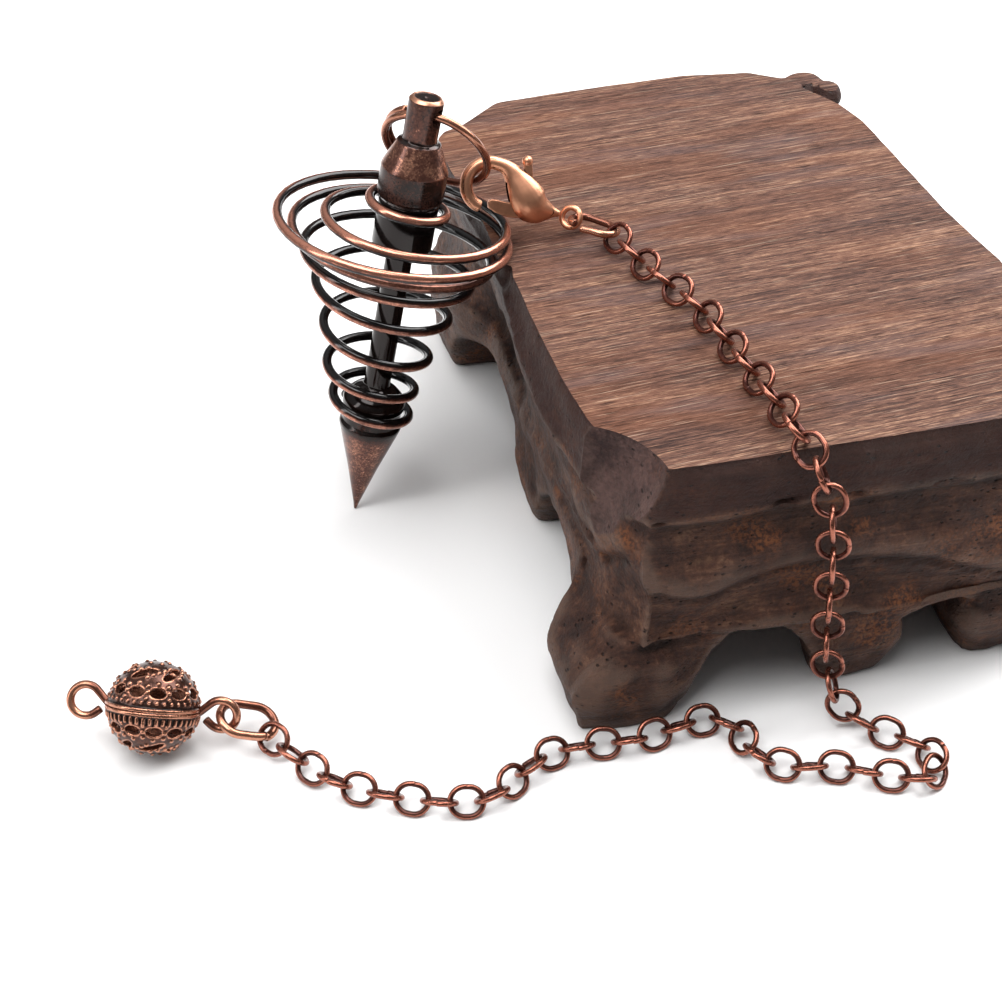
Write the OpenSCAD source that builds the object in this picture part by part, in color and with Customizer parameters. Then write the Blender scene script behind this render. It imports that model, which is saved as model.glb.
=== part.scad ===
/* [Pendulum] */
// Height from the point of the cone to the top of the neck, along the axis
pendulum_length = 47; // [40:0.5:56]
// Height of the cone at the bottom
cone_length = 11.1; // [6:0.1:13]
// Diameter of the cone at its widest
cone_diameter = 6.5; // [5:0.1:8]
// Diameter of the blunt tip of the cone
tip_diameter = 0.3; // [0.1:0.1:1]
// Height of the straight collar above the cone
collar_height = 2.1; // [1:0.1:3]
// How much narrower than the cone the collar is
collar_step = 0.4; // [0.1:0.1:1]
// Height of the rounded flange on the collar, its dish included
flange_height = 2.4; // [1.5:0.1:3]
// Diameter of the plain rod
rod_diameter = 2.7; // [1.5:0.1:3.4]
// Diameter of the sleeve under the head
sleeve_diameter = 6; // [4.5:0.1:6.4]
// Height of the sleeve
sleeve_height = 5; // [3:0.1:8]
// Diameter of the head
head_diameter = 6.6; // [5.5:0.1:8]
// Height of the straight part of the head
head_height = 3.6; // [2:0.1:6]
// Height of the sloping shoulder of the head
shoulder_height = 2.6; // [1.5:0.1:4]
// Diameter of the neck
neck_diameter = 3.4; // [2.8:0.1:5]
// Height of the neck
neck_height = 4.4; // [3.4:0.1:6]
// Diameter of the cross hole in the neck
neck_hole = 1.9; // [1.7:0.1:2]
// Distance from the top of the neck to the middle of the cross hole
hole_depth = 1.7; // [1.5:0.1:2]

/* [Coil] */
// Diameter of the coiled wire
coil_wire = 1; // [0.6:0.1:1.2]
// Widest diameter of the coil, from wire middle to wire middle
coil_diameter = 23.8; // [18:0.1:30]
// How far the middle of the coil lies to the left of the rod
coil_shift = 0.6; // [0:0.1:1]

/* [Jump ring] */
// Diameter of the jump ring, from wire middle to wire middle
ring_diameter = 10.6; // [9:0.1:12]
// Diameter of its wire
ring_wire = 0.8; // [0.6:0.05:1]

/* [Clasp] */
// Radius of the middle line of the clasp's hook
hook_radius = 2.25; // [1.9:0.05:2.6]
// Diameter of the hook
hook_wire = 1.25; // [0.9:0.05:1.4]
// Distance from the middle of the hook's curve to the middle of the tail ring
clasp_reach = 8.95; // [8.2:0.05:10]
// Half of the height of the clasp's belly
belly_radius = 1.85; // [1.5:0.05:2.1]
// Half of the thickness of the clasp's belly
belly_half = 1.45; // [1.3:0.05:1.5]
// Diameter of the tail ring, from wire middle to wire middle
tail_ring = 1.95; // [1.7:0.05:2.3]
// Diameter of the tail ring's wire
tail_wire = 0.62; // [0.5:0.02:0.8]
// Thickness of the lever
lever_thickness = 0.8; // [0.5:0.05:1]
// Width of the slot that the lever moves in
lever_slot = 1; // [0.9:0.05:1.2]
// Diameter of the lever's rivet
rivet_diameter = 0.7; // [0.5:0.05:0.9]
// Diameter of the knob that the thumb pulls
knob_diameter = 1.1; // [0.8:0.1:1.4]

/* [Oval rings] */
// Length of the oval ring on the clasp, from wire middle to wire middle
clasp_link_length = 4.8; // [4.2:0.1:6]
// Width of the oval ring on the clasp, from wire middle to wire middle
clasp_link_width = 3; // [2.6:0.1:3.4]
// Diameter of its wire
clasp_link_wire = 0.75; // [0.6:0.05:0.8]
// Length of the oval ring on the bead, from wire middle to wire middle
end_ring_length = 5.4; // [4.6:0.1:6]
// Width of the oval ring on the bead, from wire middle to wire middle
end_ring_width = 3.6; // [3.2:0.1:4]
// Diameter of its wire
end_ring_wire = 0.85; // [0.7:0.05:0.9]

/* [Chain] */
// Length of a chain link, from wire middle to wire middle
link_length = 3.08; // [2.9:0.02:3.3]
// Width of a chain link, from wire middle to wire middle
link_width = 2.7; // [2.4:0.05:3]
// Diameter of a link's wire
link_wire = 0.48; // [0.4:0.02:0.5]
// Gap between the wires of two neighbouring links
link_gap = 0.1; // [0.08:0.01:0.15]

/* [Bead] */
// Diameter of the pierced bead
bead_diameter = 8.6; // [8:0.1:9]
// Wall of the bead
bead_wall = 0.5; // [0.4:0.05:0.8]
// Height of each half's lip at the seam
lip_height = 0.35; // [0.2:0.05:0.5]
// How far the lip stands out
lip_depth = 0.18; // [0.1:0.02:0.3]
// Gap between the two halves of the bead
seam_gap = 0.06; // [0.04:0.02:0.1]
// Teardrop holes round each half
drop_holes = 12; // [8:1:12]
// Slots round each half
slot_holes = 6; // [4:1:7]
// Diameter of the eye wire
eye_wire_diameter = 0.8; // [0.6:0.05:1]
// Diameter of the eyes, from wire middle to wire middle
eye_diameter = 2.9; // [2.6:0.1:3.4]

/* [Stand] */
// How far the stand's top lies below the hole in the pendulum's neck
stand_drop = 14.18; // [14.1:0.02:18]
// Width of its top
stand_width = 47.4; // [40:0.1:60]
// Depth of its top, front to back
stand_depth = 64.8; // [55:0.1:75]
// Height of the feet
foot_height = 10.5; // [8:0.5:12]
// How far the apron stands out past the top's edge
apron_flare = 2; // [0:0.1:2.4]
// Width of a foot in the middle of a side
foot_width = 9.6; // [7:0.1:11]
// Width of a corner foot
corner_foot_width = 12.6; // [10:0.1:14]

/* [Hidden] */

// Smoothness of the plain round forms
round_steps = 48;

// Moves the middle of the whole layout to the origin
layout_shift = [-0.15, 0.85, 0];

// Turn of the layout to the direction that the pendulum leans in
lean_turn = -13.2;
// Lean of the pendulum away from the front, and to the right
lean_back = 9.1;
lean_side = 10.8;

// Heights along the pendulum's axis
collar_top = cone_length + collar_height;
flange_top = collar_top + flange_height;
neck_base = pendulum_length - neck_height;
head_top = neck_base - shoulder_height;
head_base = head_top - head_height;
sleeve_base = head_base - sleeve_height;
hole_height = pendulum_length - hole_depth;

module laid_out() { translate(layout_shift) children(); }

module pendulum_place() {
    translate(tip_place) rotate([0, 0, lean_turn]) rotate([-lean_back, 0, 0])
        rotate([0, lean_side, 0]) children();
}

// Plain vector and matrix helpers
function unit(v) = v / norm(v);
function rot_x(a) = [[1, 0, 0], [0, cos(a), -sin(a)], [0, sin(a), cos(a)]];
function rot_y(a) = [[cos(a), 0, sin(a)], [0, 1, 0], [-sin(a), 0, cos(a)]];
function rot_z(a) = [[cos(a), -sin(a), 0], [sin(a), cos(a), 0], [0, 0, 1]];
// Where the hole in the neck is, seen from above: the point of the pendulum stands as
// far from there as the pendulum leans, with a small gap to the table
hole_place = [-7.329, 13.113];
tip_gap = 0.04;
lean_matrix = rot_z(lean_turn) * rot_x(-lean_back) * rot_y(lean_side);
hole_rise = lean_matrix * [0, 0, hole_height];
tip_place = [hole_place[0] - hole_rise[0], hole_place[1] - hole_rise[1], tip_gap];
function on_pendulum(p) = tip_place + lean_matrix * p;
// The stand is as high as the clasp, which hangs at the neck, needs to lie on it
stand_height = tip_gap + hole_rise[2] - stand_drop;

// Smooth curve through points, with steps in each stretch
function spline_point(a, b, c, d, t) =
    0.5 * (2 * b + (c - a) * t + (2 * a - 5 * b + 4 * c - d) * t * t
    + (3 * b - a - 3 * c + d) * t * t * t);
function spline(pts, steps) = let (n = len(pts)) [
    for (i = [0 : n - 2], k = [0 : steps - 1])
        spline_point(pts[max(i - 1, 0)], pts[i], pts[i + 1], pts[min(i + 2, n - 1)], k / steps),
    pts[n - 1]];
// Running length along a list of points
function run_length(pts) = [
    for (i = 0, s = 0; i < len(pts);
        s = s + (i + 1 < len(pts) ? norm(pts[i + 1] - pts[i]) : 0), i = i + 1) s];
// The point at a length along a list of points
function index_at(run, s, low, high) = high - low <= 1 ? low :
    let (mid = floor((low + high) / 2))
    run[mid] <= s ? index_at(run, s, mid, high) : index_at(run, s, low, mid);
function point_at(pts, run, s) =
    let (i = index_at(run, s, 0, len(pts) - 1), f = (s - run[i]) / (run[i + 1] - run[i]))
    pts[i] + (pts[i + 1] - pts[i]) * f;

// Tube of round wire along a list of points, closed with flat ends; the side is a
// direction that the wire never runs along
module wire_along(path, width, sides, side) {
    n = len(path);
    tangent = [for (i = [0 : n - 1]) unit(path[min(i + 1, n - 1)] - path[max(i - 1, 0)])];
    across = [for (i = [0 : n - 1]) unit(cross(tangent[i], side))];
    up = [for (i = [0 : n - 1]) cross(across[i], tangent[i])];
    points = [for (i = [0 : n - 1], k = [0 : sides - 1])
        let (a = 360 * k / sides)
        path[i] + (across[i] * cos(a) + up[i] * sin(a)) * width / 2];
    sides_faces = [for (i = [0 : n - 2], k = [0 : sides - 1])
        let (m = (k + 1) % sides)
        [i * sides + k, i * sides + m, (i + 1) * sides + m, (i + 1) * sides + k]];
    first_face = [[for (k = [sides - 1 : -1 : 0]) k]];
    last_face = [[for (k = [0 : sides - 1]) (n - 1) * sides + k]];
    polyhedron(points, concat(sides_faces, first_face, last_face), convexity = 10);
}

// Closed oval of round wire in the XY plane, long way along X
module oval(length, width, wire) {
    straight = length - width;
    for (side = [-1, 1]) {
        translate([side * straight / 2, 0, 0]) rotate([0, 0, side * 90 - 180])
            rotate_extrude(angle = 180, $fn = round_steps)
                translate([width / 2, 0]) circle(d = wire, $fn = round_steps);
        translate([0, side * width / 2, 0]) rotate([0, 90, 0])
            cylinder(d = wire, h = straight, center = true, $fn = round_steps);
    }
}

// Turn of the cross hole about the axis, from the right towards the front
hole_turn = -25;
// Small rounding of the cone's edge, the head's edges and the neck's rim
edge_round = 0.3;

module pendulum() {
    color("#5a3020") laid_out() pendulum_place() difference() {
        rotate_extrude($fn = round_steps * 2) polygon([
            [0, 0], [tip_diameter / 2, 0],
            [cone_diameter / 2, cone_length - edge_round], [cone_diameter / 2, cone_length],
            [(cone_diameter - collar_step) / 2, cone_length + edge_round],
            [(cone_diameter - collar_step) / 2, collar_top - edge_round],
            [cone_diameter / 2, collar_top], [cone_diameter / 2, collar_top + flange_height / 3],
            [cone_diameter / 2 - edge_round, collar_top + flange_height / 2],
            [rod_diameter / 2, flange_top], [rod_diameter / 2, sleeve_base],
            [sleeve_diameter / 2 - edge_round, sleeve_base],
            [sleeve_diameter / 2, sleeve_base + edge_round],
            [sleeve_diameter / 2, head_base], [head_diameter / 2 - edge_round, head_base],
            [head_diameter / 2, head_base + edge_round * 2], [head_diameter / 2, head_top],
            [neck_diameter / 2 + edge_round, neck_base], [neck_diameter / 2, neck_base + edge_round],
            [neck_diameter / 2, pendulum_length - edge_round],
            [neck_diameter / 2 - edge_round, pendulum_length], [0, pendulum_length]]);
        translate([0, 0, hole_height]) rotate([0, 0, hole_turn]) rotate([0, 90, 0])
            cylinder(d = neck_hole, h = neck_diameter * 2, center = true, $fn = round_steps);
    }
}

// The coil's turns: turn number, radius as a share of the widest, and height as a
// share of the way from the collar up to the head
turn_no = 0;
turn_radius = 1;
turn_height = 2;
COIL_TURNS = [
    [-0.35, 0.315, 0.995], [0, 0.32, 0.96], [0.25, 0.4, 0.935], [0.5, 0.6, 0.92],
    [0.75, 0.76, 0.915], [1, 0.89, 0.92], [1.5, 1, 0.87], [2, 0.925, 0.865],
    [3, 0.815, 0.775], [4, 0.68, 0.665], [5, 0.547, 0.485], [6, 0.445, 0.28],
    [7, 0.38, 0.105], [8, 0.31, -0.03]];
// How much flatter the coil is from front to back, as a share
coil_flat = 0.05;
turn_steps = 24;
wire_sides = 10;
// Least radius of the coil, so that it stays clear of the collar and the sleeve
coil_gap = 0.06;
coil_least = (cone_diameter + coil_wire) / 2 + coil_gap;

function coil_middle(t) =
    let (row = [for (i = [0 : len(COIL_TURNS) - 2]) if (COIL_TURNS[i][turn_no] <= t) i],
        i = row[len(row) - 1], n = len(COIL_TURNS),
        a = COIL_TURNS[max(i - 1, 0)], b = COIL_TURNS[i],
        c = COIL_TURNS[i + 1], d = COIL_TURNS[min(i + 2, n - 1)],
        f = (t - b[turn_no]) / (c[turn_no] - b[turn_no]),
        slope_b = (c - a) / (c[turn_no] - a[turn_no]),
        slope_c = (d - b) / (d[turn_no] - b[turn_no]),
        step = c[turn_no] - b[turn_no])
    (2 * f * f * f - 3 * f * f + 1) * b + (f * f * f - 2 * f * f + f) * step * slope_b
    + (3 * f * f - 2 * f * f * f) * c + (f * f * f - f * f) * step * slope_c;

function coil_point(t) =
    let (m = coil_middle(t), r = max(m[turn_radius] * coil_diameter / 2, coil_least),
        free = min(1, max(0, (r - coil_least) / coil_shift)))
    [r * cos(360 * t) - coil_shift * free, r * sin(360 * t) * (1 - coil_flat * free),
        collar_top + m[turn_height] * (head_base - collar_top)];

module coil() {
    first = COIL_TURNS[0][turn_no];
    last = COIL_TURNS[len(COIL_TURNS) - 1][turn_no];
    steps = round((last - first) * turn_steps);
    color("#7a4432") laid_out() pendulum_place()
        wire_along([for (i = [0 : steps]) coil_point(first + (last - first) * i / steps)],
            coil_wire, wire_sides, [0, 0, 1]);
}

// Tilt of the jump ring in the cross hole, and its swing to the back
ring_tilt = 8;
ring_swing = 36;
// How far the ring sits above the middle of the cross hole
ring_lift = 0.08;

module ring_place() {
    pendulum_place() translate([0, 0, hole_height]) rotate([0, 0, hole_turn])
        rotate([0, -ring_tilt, 0]) rotate([ring_swing, 0, 0])
        translate([0, 0, ring_lift - ring_diameter / 2]) children();
}

module jump_ring() {
    color("#8a4c34") laid_out() ring_place() rotate([90, 0, 0])
        rotate_extrude($fn = round_steps * 2)
            translate([ring_diameter / 2, 0]) circle(d = ring_wire, $fn = round_steps);
}

// Where on the jump ring the clasp hangs, in degrees round from the cross hole
hang_angle = 127;
// Gap between the hook and the jump ring
hang_gap = 0.5;
// Turn and roll of the clasp, and its usual rise
clasp_turn = 169;
clasp_roll = -63;
usual_rise = 18;
// Place of the hook's top on the clasp, seen from the middle of the tail ring
hook_middle = [clasp_reach, -0.8, 0];
hook_top = hook_middle + [0, -hook_radius, 0];
// Where the hook hangs on the jump ring, in degrees round the hook from the far side
hook_grip = -64;
grip_place = hook_middle + hook_radius * [cos(hook_grip), sin(hook_grip), 0];

function on_ring(a) = on_pendulum([0, 0, hole_height] + rot_z(hole_turn) * rot_y(-ring_tilt)
    * rot_x(ring_swing) * ([sin(a), 0, cos(a) - 1] * ring_diameter / 2 + [0, 0, ring_lift]));
ring_way = unit(on_ring(hang_angle + 1) - on_ring(hang_angle - 1));
hook_way = rot_z(clasp_turn) * rot_y(-usual_rise) * [1, 0, 0];
hang_place = on_ring(hang_angle)
    + unit(cross(ring_way, hook_way)) * ((ring_wire + hook_wire) / 2 + hang_gap);
// The clasp rises just as much as its tail ring needs to lie on the stand
tail_gap = 0.4;
tail_height = stand_height + (tail_ring + tail_wire) / 2 + tail_gap;
grip_slope = atan2(grip_place[1] * sin(clasp_roll), grip_place[0]);
grip_reach = norm([grip_place[0], grip_place[1] * sin(clasp_roll)]);
clasp_rise = asin((hang_place[2] - tail_height) / grip_reach) - grip_slope;
clasp_matrix = rot_z(clasp_turn) * rot_y(-clasp_rise) * rot_x(clasp_roll);
tail_place = hang_place - clasp_matrix * grip_place;

module clasp_place() {
    translate(tail_place) rotate([0, 0, clasp_turn]) rotate([0, -clasp_rise, 0])
        rotate([clasp_roll, 0, 0]) children();
}

// Middle of the clasp's belly, where the lever turns, and turn of the tail ring
belly_place = [4.3, 0, 0];
tail_turn = 36;
// Slots for the lever's arm and for its stem, as corners seen from the rivet
arm_slot = [[-1.1, 0], [-0.5, -1], [1.9, -1.6], [4.9, -1.5], [4.9, 1.75], [1.2, 1.75], [-0.5, 1]];
stem_slot = [[-0.6, 0], [-1.5, -4.4], [2.5, -4.1], [1, 0]];

// Long drop round the line from one point to another, with a round end at each
drop_steps = 7;
module drop(a, radius_a, b, radius_b) {
    v = b - a;
    touch = 90 - asin((radius_a - radius_b) / norm(v));
    translate(a) rotate([0, acos(v[2] / norm(v)), atan2(v[1], v[0])])
        rotate_extrude($fn = round_steps) polygon(concat(
            [for (i = [0 : drop_steps]) let (t = 180 - (180 - touch) * i / drop_steps)
                radius_a * [sin(t), cos(t)]],
            [for (i = [0 : drop_steps]) let (t = touch * (1 - i / drop_steps))
                radius_b * [sin(t), cos(t)] + [0, norm(v)]]));
}

// Neck and shoulder of the clasp's body, and their radii
neck_of_clasp = [1.75, 0, 0];
neck_radius = 0.5;
shoulder_place = [clasp_reach - 2.8, -1.65, 0];
shoulder_radius = 1.25;
// Each stretch starts a little inside the one before it
start_inside = 0.25;

module clasp_solid() {
    intersection() {
        union() {
            drop(belly_place, belly_radius, neck_of_clasp, neck_radius);
            drop(belly_place, belly_radius - start_inside, shoulder_place, shoulder_radius);
            drop(shoulder_place, shoulder_radius - start_inside, hook_top,
                (hook_wire - start_inside / 3) / 2);
        }
        translate([0, 0, -belly_half])
            cylinder(r = clasp_reach * 2, h = belly_half * 2, $fn = round_steps);
    }
}

module clasp_body() {
    hook_end = 172;
    color("#c07a48") laid_out() clasp_place() {
        difference() {
            clasp_solid();
            translate(belly_place) translate([0, 0, -lever_slot / 2]) {
                linear_extrude(lever_slot) polygon(arm_slot);
                linear_extrude(lever_slot) polygon(stem_slot);
            }
        }
        translate(hook_middle) rotate([0, 0, -90]) rotate_extrude(angle = hook_end, $fn = round_steps)
            translate([hook_radius, 0]) circle(d = hook_wire, $fn = round_steps);
        translate(hook_middle) rotate([0, 0, hook_end - 90]) translate([hook_radius, 0, 0])
            sphere(d = hook_wire, $fn = round_steps);
        translate(belly_place) cylinder(d = rivet_diameter, h = belly_half * 2 - 0.3,
            center = true, $fn = round_steps);
        rotate([0, tail_turn, 0]) rotate_extrude($fn = round_steps)
            translate([tail_ring / 2, 0]) circle(d = tail_wire, $fn = round_steps);
        drop(neck_of_clasp, tail_wire / 2,
            [tail_ring / 2 * cos(tail_turn), 0, -tail_ring / 2 * sin(tail_turn)], tail_wire / 2 - 0.05);
    }
}
// Lever, seen from the rivet: its arm's middle line and its stem's end
lever_bore = rivet_diameter + 0.1;
lever_hub = 1.7;
arm_width = 0.84;
arm_path = [[0, 0.35], [1.6, 0.95], [3.1, 0.98], [3.85, 0.8]];
stem_width = 0.8;
knob_place = [1.58, -4.1];

module flat_bar(path, width, thickness) {
    linear_extrude(thickness, center = true) {
        for (i = [0 : len(path) - 2]) {
            v = path[i + 1] - path[i];
            translate(path[i]) {
                circle(d = width, $fn = round_steps);
                rotate(atan2(v[1], v[0])) translate([0, -width / 2]) square([norm(v), width]);
            }
        }
        translate(path[len(path) - 1]) circle(d = width, $fn = round_steps);
    }
}

module clasp_lever() {
    color("#c98a5a") laid_out() clasp_place() translate(belly_place) {
        difference() {
            union() {
                cylinder(d = lever_hub, h = lever_thickness, center = true, $fn = round_steps);
                flat_bar(arm_path, arm_width, lever_thickness);
                flat_bar([[0, 0], knob_place], stem_width, lever_thickness);
            }
            cylinder(d = lever_bore, h = lever_thickness * 2, center = true, $fn = round_steps);
        }
        translate([knob_place[0], knob_place[1], 0]) sphere(d = knob_diameter, $fn = round_steps);
    }
}

// Turn, dip and roll of the oval ring on the clasp
clasp_link_turn = -42.4;
clasp_link_dip = 3;
clasp_link_roll = -45;
clasp_link_way = rot_z(clasp_link_turn) * rot_y(clasp_link_dip) * [1, 0, 0];
clasp_link_start = tail_place + clasp_link_way
    * ((tail_ring - tail_wire - clasp_link_wire) / 2 - link_gap);
clasp_link_end = clasp_link_start + clasp_link_way * clasp_link_length;

module clasp_link() {
    color("#a8603c") laid_out() translate(clasp_link_start) rotate([0, 0, clasp_link_turn])
        rotate([0, clasp_link_dip, 0]) rotate([clasp_link_roll, 0, 0])
        translate([clasp_link_length / 2, 0, 0])
        oval(clasp_link_length, clasp_link_width, clasp_link_wire);
}

// Turn, dip and roll of the bead, its place, and how far its eyes lie from its middle
bead_turn = -18;
bead_dip = 4;
bead_roll = 42;
bead_place_point = [-40.7, -19.5, bead_diameter / 2 + 0.05];
eye_reach = bead_diameter / 2 + 2.05;
// Twist of the wire's right eye against its left one
eye_twist = 17;

module bead_place() {
    translate(bead_place_point) rotate([0, 0, bead_turn]) rotate([0, bead_dip, 0])
        rotate([-bead_roll, 0, 0]) children();
}
eye_place = bead_place_point + rot_z(bead_turn) * rot_y(bead_dip) * [eye_reach, 0, 0];

// Oval ring on the bead: it starts in the eye and slopes down to the chain
end_ring_turn = -1;
end_ring_dip = 24.3;
end_ring_roll = 5.5;
end_ring_hold = [-0.1, 0, -0.19];
// Where the chain holds the end ring, in degrees round its far end
end_ring_grip = -60;
end_ring_matrix = rot_z(end_ring_turn) * rot_y(end_ring_dip) * rot_x(end_ring_roll);
end_ring_start = eye_place
    + rot_z(bead_turn) * rot_y(bead_dip) * rot_x(eye_twist - bead_roll) * end_ring_hold;
end_ring_way = end_ring_matrix * [cos(end_ring_grip), sin(end_ring_grip), 0];
end_ring_end = end_ring_start + end_ring_matrix * [end_ring_length - end_ring_width / 2, 0, 0]
    + end_ring_way * end_ring_width / 2;

module end_ring() {
    color("#a8603c") laid_out() translate(end_ring_start) rotate([0, 0, end_ring_turn])
        rotate([0, end_ring_dip, 0]) rotate([end_ring_roll, 0, 0])
        translate([end_ring_length / 2, 0, 0])
        oval(end_ring_length, end_ring_width, end_ring_wire);
}

// Height of a link's middle over what it lies on, rolled by 45 degrees
lie_gap = 0.06;
link_lie = link_width / 2 * sin(45) + link_wire / 2 + lie_gap;
on_top = stand_height + link_lie;
// Where the chain starts and ends, hung on the two oval rings
end_gap = link_gap * 2.4;
chain_start = clasp_link_end - clasp_link_way * (clasp_link_wire + end_gap) / 2;
chain_end = end_ring_end - end_ring_way * (end_ring_wire + end_gap) / 2;
// The chain's route between them: over the top, down the front and along the floor
CHAIN_ROUTE = [
    [12.4, 0.8, on_top], [14.8, -5.2, on_top], [16, -12.6, on_top], [16.9, -18.4, on_top],
    [17.4, -24, on_top + 0.2], [18.2, -27.8, on_top - 0.9], [19.3, -29.9, on_top - 4.5],
    [20.1, -30.4, on_top * 0.644], [20.5, -30.5, on_top * 0.419],
    [21, -30.9, on_top * 0.225], [22.2, -32.2, on_top * 0.097],
    [24.2, -34.2, link_lie], [27.6, -36.9, link_lie], [29.4, -39.2, link_lie],
    [28.2, -41.5, link_lie], [25.4, -41, link_lie], [19.6, -38.2, link_lie],
    [15, -37.2, link_lie], [12.8, -34.4, link_lie], [12.4, -31.6, link_lie],
    [9.8, -30, link_lie], [3.2, -31, link_lie], [-1.5, -30.6, link_lie],
    [-6.3, -31, link_lie], [-12.2, -34.6, link_lie], [-18.3, -33.4, link_lie],
    [-25.6, -29.4, link_lie]];
route_steps = 12;
chain_line = [for (p = spline(concat([chain_start], CHAIN_ROUTE, [chain_end]), route_steps))
    [p[0], p[1], max(p[2], link_lie)]];
chain_run = run_length(chain_line);
chain_length = chain_run[len(chain_run) - 1];
// Number of links that lie on the top, before the chain goes over the edge
top_links = 16;
// Side of a link that faces out where the chain hangs
hang_side = [0.38, -0.93, 0];

function along(s) = point_at(chain_line, chain_run, min(max(s, 0), chain_length - 0.001));
// Half of the way that two joined links share, longer where the chain bends
function joint_share(s) =
    let (a = unit(along(s) - along(s - link_length)), b = unit(along(s + link_length) - along(s)),
        bend = acos(min(1, a * b)))
    (link_wire + link_gap) / 2 / cos(min(bend, most_bend) * bend_share);
most_bend = 80;
bend_share = 0.7;
// Next joint on the route after the one at s: link_length away, less what its ends share
function next_joint(s, low, high, tries) =
    let (mid = (low + high) / 2,
        far = norm(along(mid) - along(s)) > link_length - joint_share(s) - joint_share(mid))
    tries == 0 ? mid : far ? next_joint(s, low, mid, tries - 1) : next_joint(s, mid, high, tries - 1);
joint_tries = 14;
joint_walk = [for (s = 0; s < chain_length;
    s = next_joint(s, s + link_length / 2, s + link_length * 1.4, joint_tries)) s];
// The walk is eased a little, so that its last joint comes to the route's end
link_pitch = link_length - link_wire - link_gap;
walk_end = joint_walk[len(joint_walk) - 1];
one_more = chain_length - walk_end > link_pitch / 2;
ease = chain_length / (one_more ? walk_end + link_pitch : walk_end);
chain_joints = concat([for (s = joint_walk) s * ease], one_more ? [chain_length] : []);
link_count = len(chain_joints) - 1;

// One chain link from joint to joint, rolled to one side or the other in turn
module chain_link(i) {
    a = along(chain_joints[i]);
    b = along(chain_joints[i + 1]);
    way = unit(b - a);
    hanging = min(1, max(0, (abs(way[2]) - 0.4) * 2));
    front = [0, 0, 1] * (1 - hanging) + hang_side * hanging;
    across = unit(cross(way, front));
    up = cross(across, way);
    m = (a + b) / 2;
    multmatrix([[way[0], -across[0], up[0], m[0]], [way[1], -across[1], up[1], m[1]],
        [way[2], -across[2], up[2], m[2]], [0, 0, 0, 1]])
        rotate([45 + 90 * (i % 2), 0, 0]) oval(link_length, link_width, link_wire);
}

module chain_top() {
    color("#7c4636") laid_out() for (i = [0 : top_links - 1]) chain_link(i);
}

module chain_floor() {
    color("#7c4636") laid_out() for (i = [top_links : link_count - 1]) chain_link(i);
}

// Pierced rows of each half: latitude, length and width as shares of the bead's diameter
drop_latitude = 24;
drop_length = 0.15;
drop_width = 0.085;
slot_latitude = 54;
slot_length = 0.26;
slot_width = 0.06;
slot_slant = 30;
eye_hole = 0.25;

module drop_cut() {
    linear_extrude(bead_diameter) union() {
        circle(d = bead_diameter * drop_width, $fn = round_steps);
        polygon([[0, bead_diameter * drop_width / 2], [0, -bead_diameter * drop_width / 2],
            [bead_diameter * (drop_length - drop_width / 2), 0]]);
    }
}

module slot_cut() {
    linear_extrude(bead_diameter) {
        square([bead_diameter * (slot_length - slot_width), bead_diameter * slot_width],
            center = true);
        for (side = [-1, 1]) translate([side * bead_diameter * (slot_length - slot_width) / 2, 0])
            circle(d = bead_diameter * slot_width, $fn = round_steps);
    }
}

module bead_half() {
    difference() {
        union() {
            intersection() {
                sphere(d = bead_diameter, $fn = round_steps);
                translate([0, 0, seam_gap / 2]) cylinder(d = bead_diameter * 2, h = bead_diameter);
            }
            translate([0, 0, seam_gap / 2])
                cylinder(d = bead_diameter + lip_depth * 2, h = lip_height, $fn = round_steps);
        }
        sphere(d = bead_diameter - bead_wall * 2, $fn = round_steps);
        for (i = [0 : drop_holes - 1]) rotate([0, 0, 360 * (i + 0.5) / drop_holes])
            rotate([0, 90 - drop_latitude, 0]) rotate([0, 0, 90]) drop_cut();
        for (i = [0 : slot_holes - 1]) rotate([0, 0, 360 * (i + 0.25) / slot_holes])
            rotate([0, 90 - slot_latitude, 0]) rotate([0, 0, 90 + slot_slant]) slot_cut();
        for (side = [0, 180]) rotate([0, 90, side])
            cylinder(d = eye_wire_diameter + eye_hole * 2, h = bead_diameter, $fn = round_steps);
    }
}

module bead_upper() { color("#6e3c2c") laid_out() bead_place() bead_half(); }

module bead_lower() { color("#6e3c2c") laid_out() bead_place() rotate([180, 0, 0]) bead_half(); }

// The wire through the bead: at each end it turns round in an eye and runs back to the bead
eye_open = 50;
eye_steps = 20;
eye_mouth = [bead_diameter / 2 + eye_wire_diameter * 0.8, 0, -eye_wire_diameter * 0.85];
eye_path = concat([[0, 0, 0], [bead_diameter / 2, 0, 0]],
    [for (i = [0 : eye_steps]) let (a = (180 - eye_open) * (1 - 2 * i / eye_steps))
        [eye_reach + eye_diameter / 2 * cos(a), 0, eye_diameter / 2 * sin(a)]],
    [eye_mouth]);
eye_half = len(eye_path) - 1;

module eye_wire() {
    color("#a8603c") laid_out() bead_place()
        wire_along([for (i = [-eye_half : eye_half])
            i < 0 ? -eye_path[-i] : rot_x(eye_twist) * eye_path[i]],
            eye_wire_diameter, wire_sides, [0, 1, 0]);
}

// Stand: the left end and the front end of its top
stand_left = -0.6;
stand_front = -25.9;
// Outline of the top, as shares of its width from the left and of its depth from the front
share_x = 0;
share_y = 1;
TOP_OUTLINE = [
    [0.133, 0], [0.036, 0.111], [0.017, 0.227], [0.006, 0.383], [0.004, 0.48],
    [0.028, 0.545], [0.028, 0.6], [0.017, 0.739],
    [0.042, 0.931], [0.131, 0.985], [0.405, 0.997], [0.582, 1], [0.745, 0.986], [0.812, 0.954],
    [0.905, 0.846], [0.928, 0.792], [0.945, 0.636], [0.964, 0.492], [0.996, 0.35], [1, 0.23],
    [0.983, 0.111], [0.89, 0]];
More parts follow.
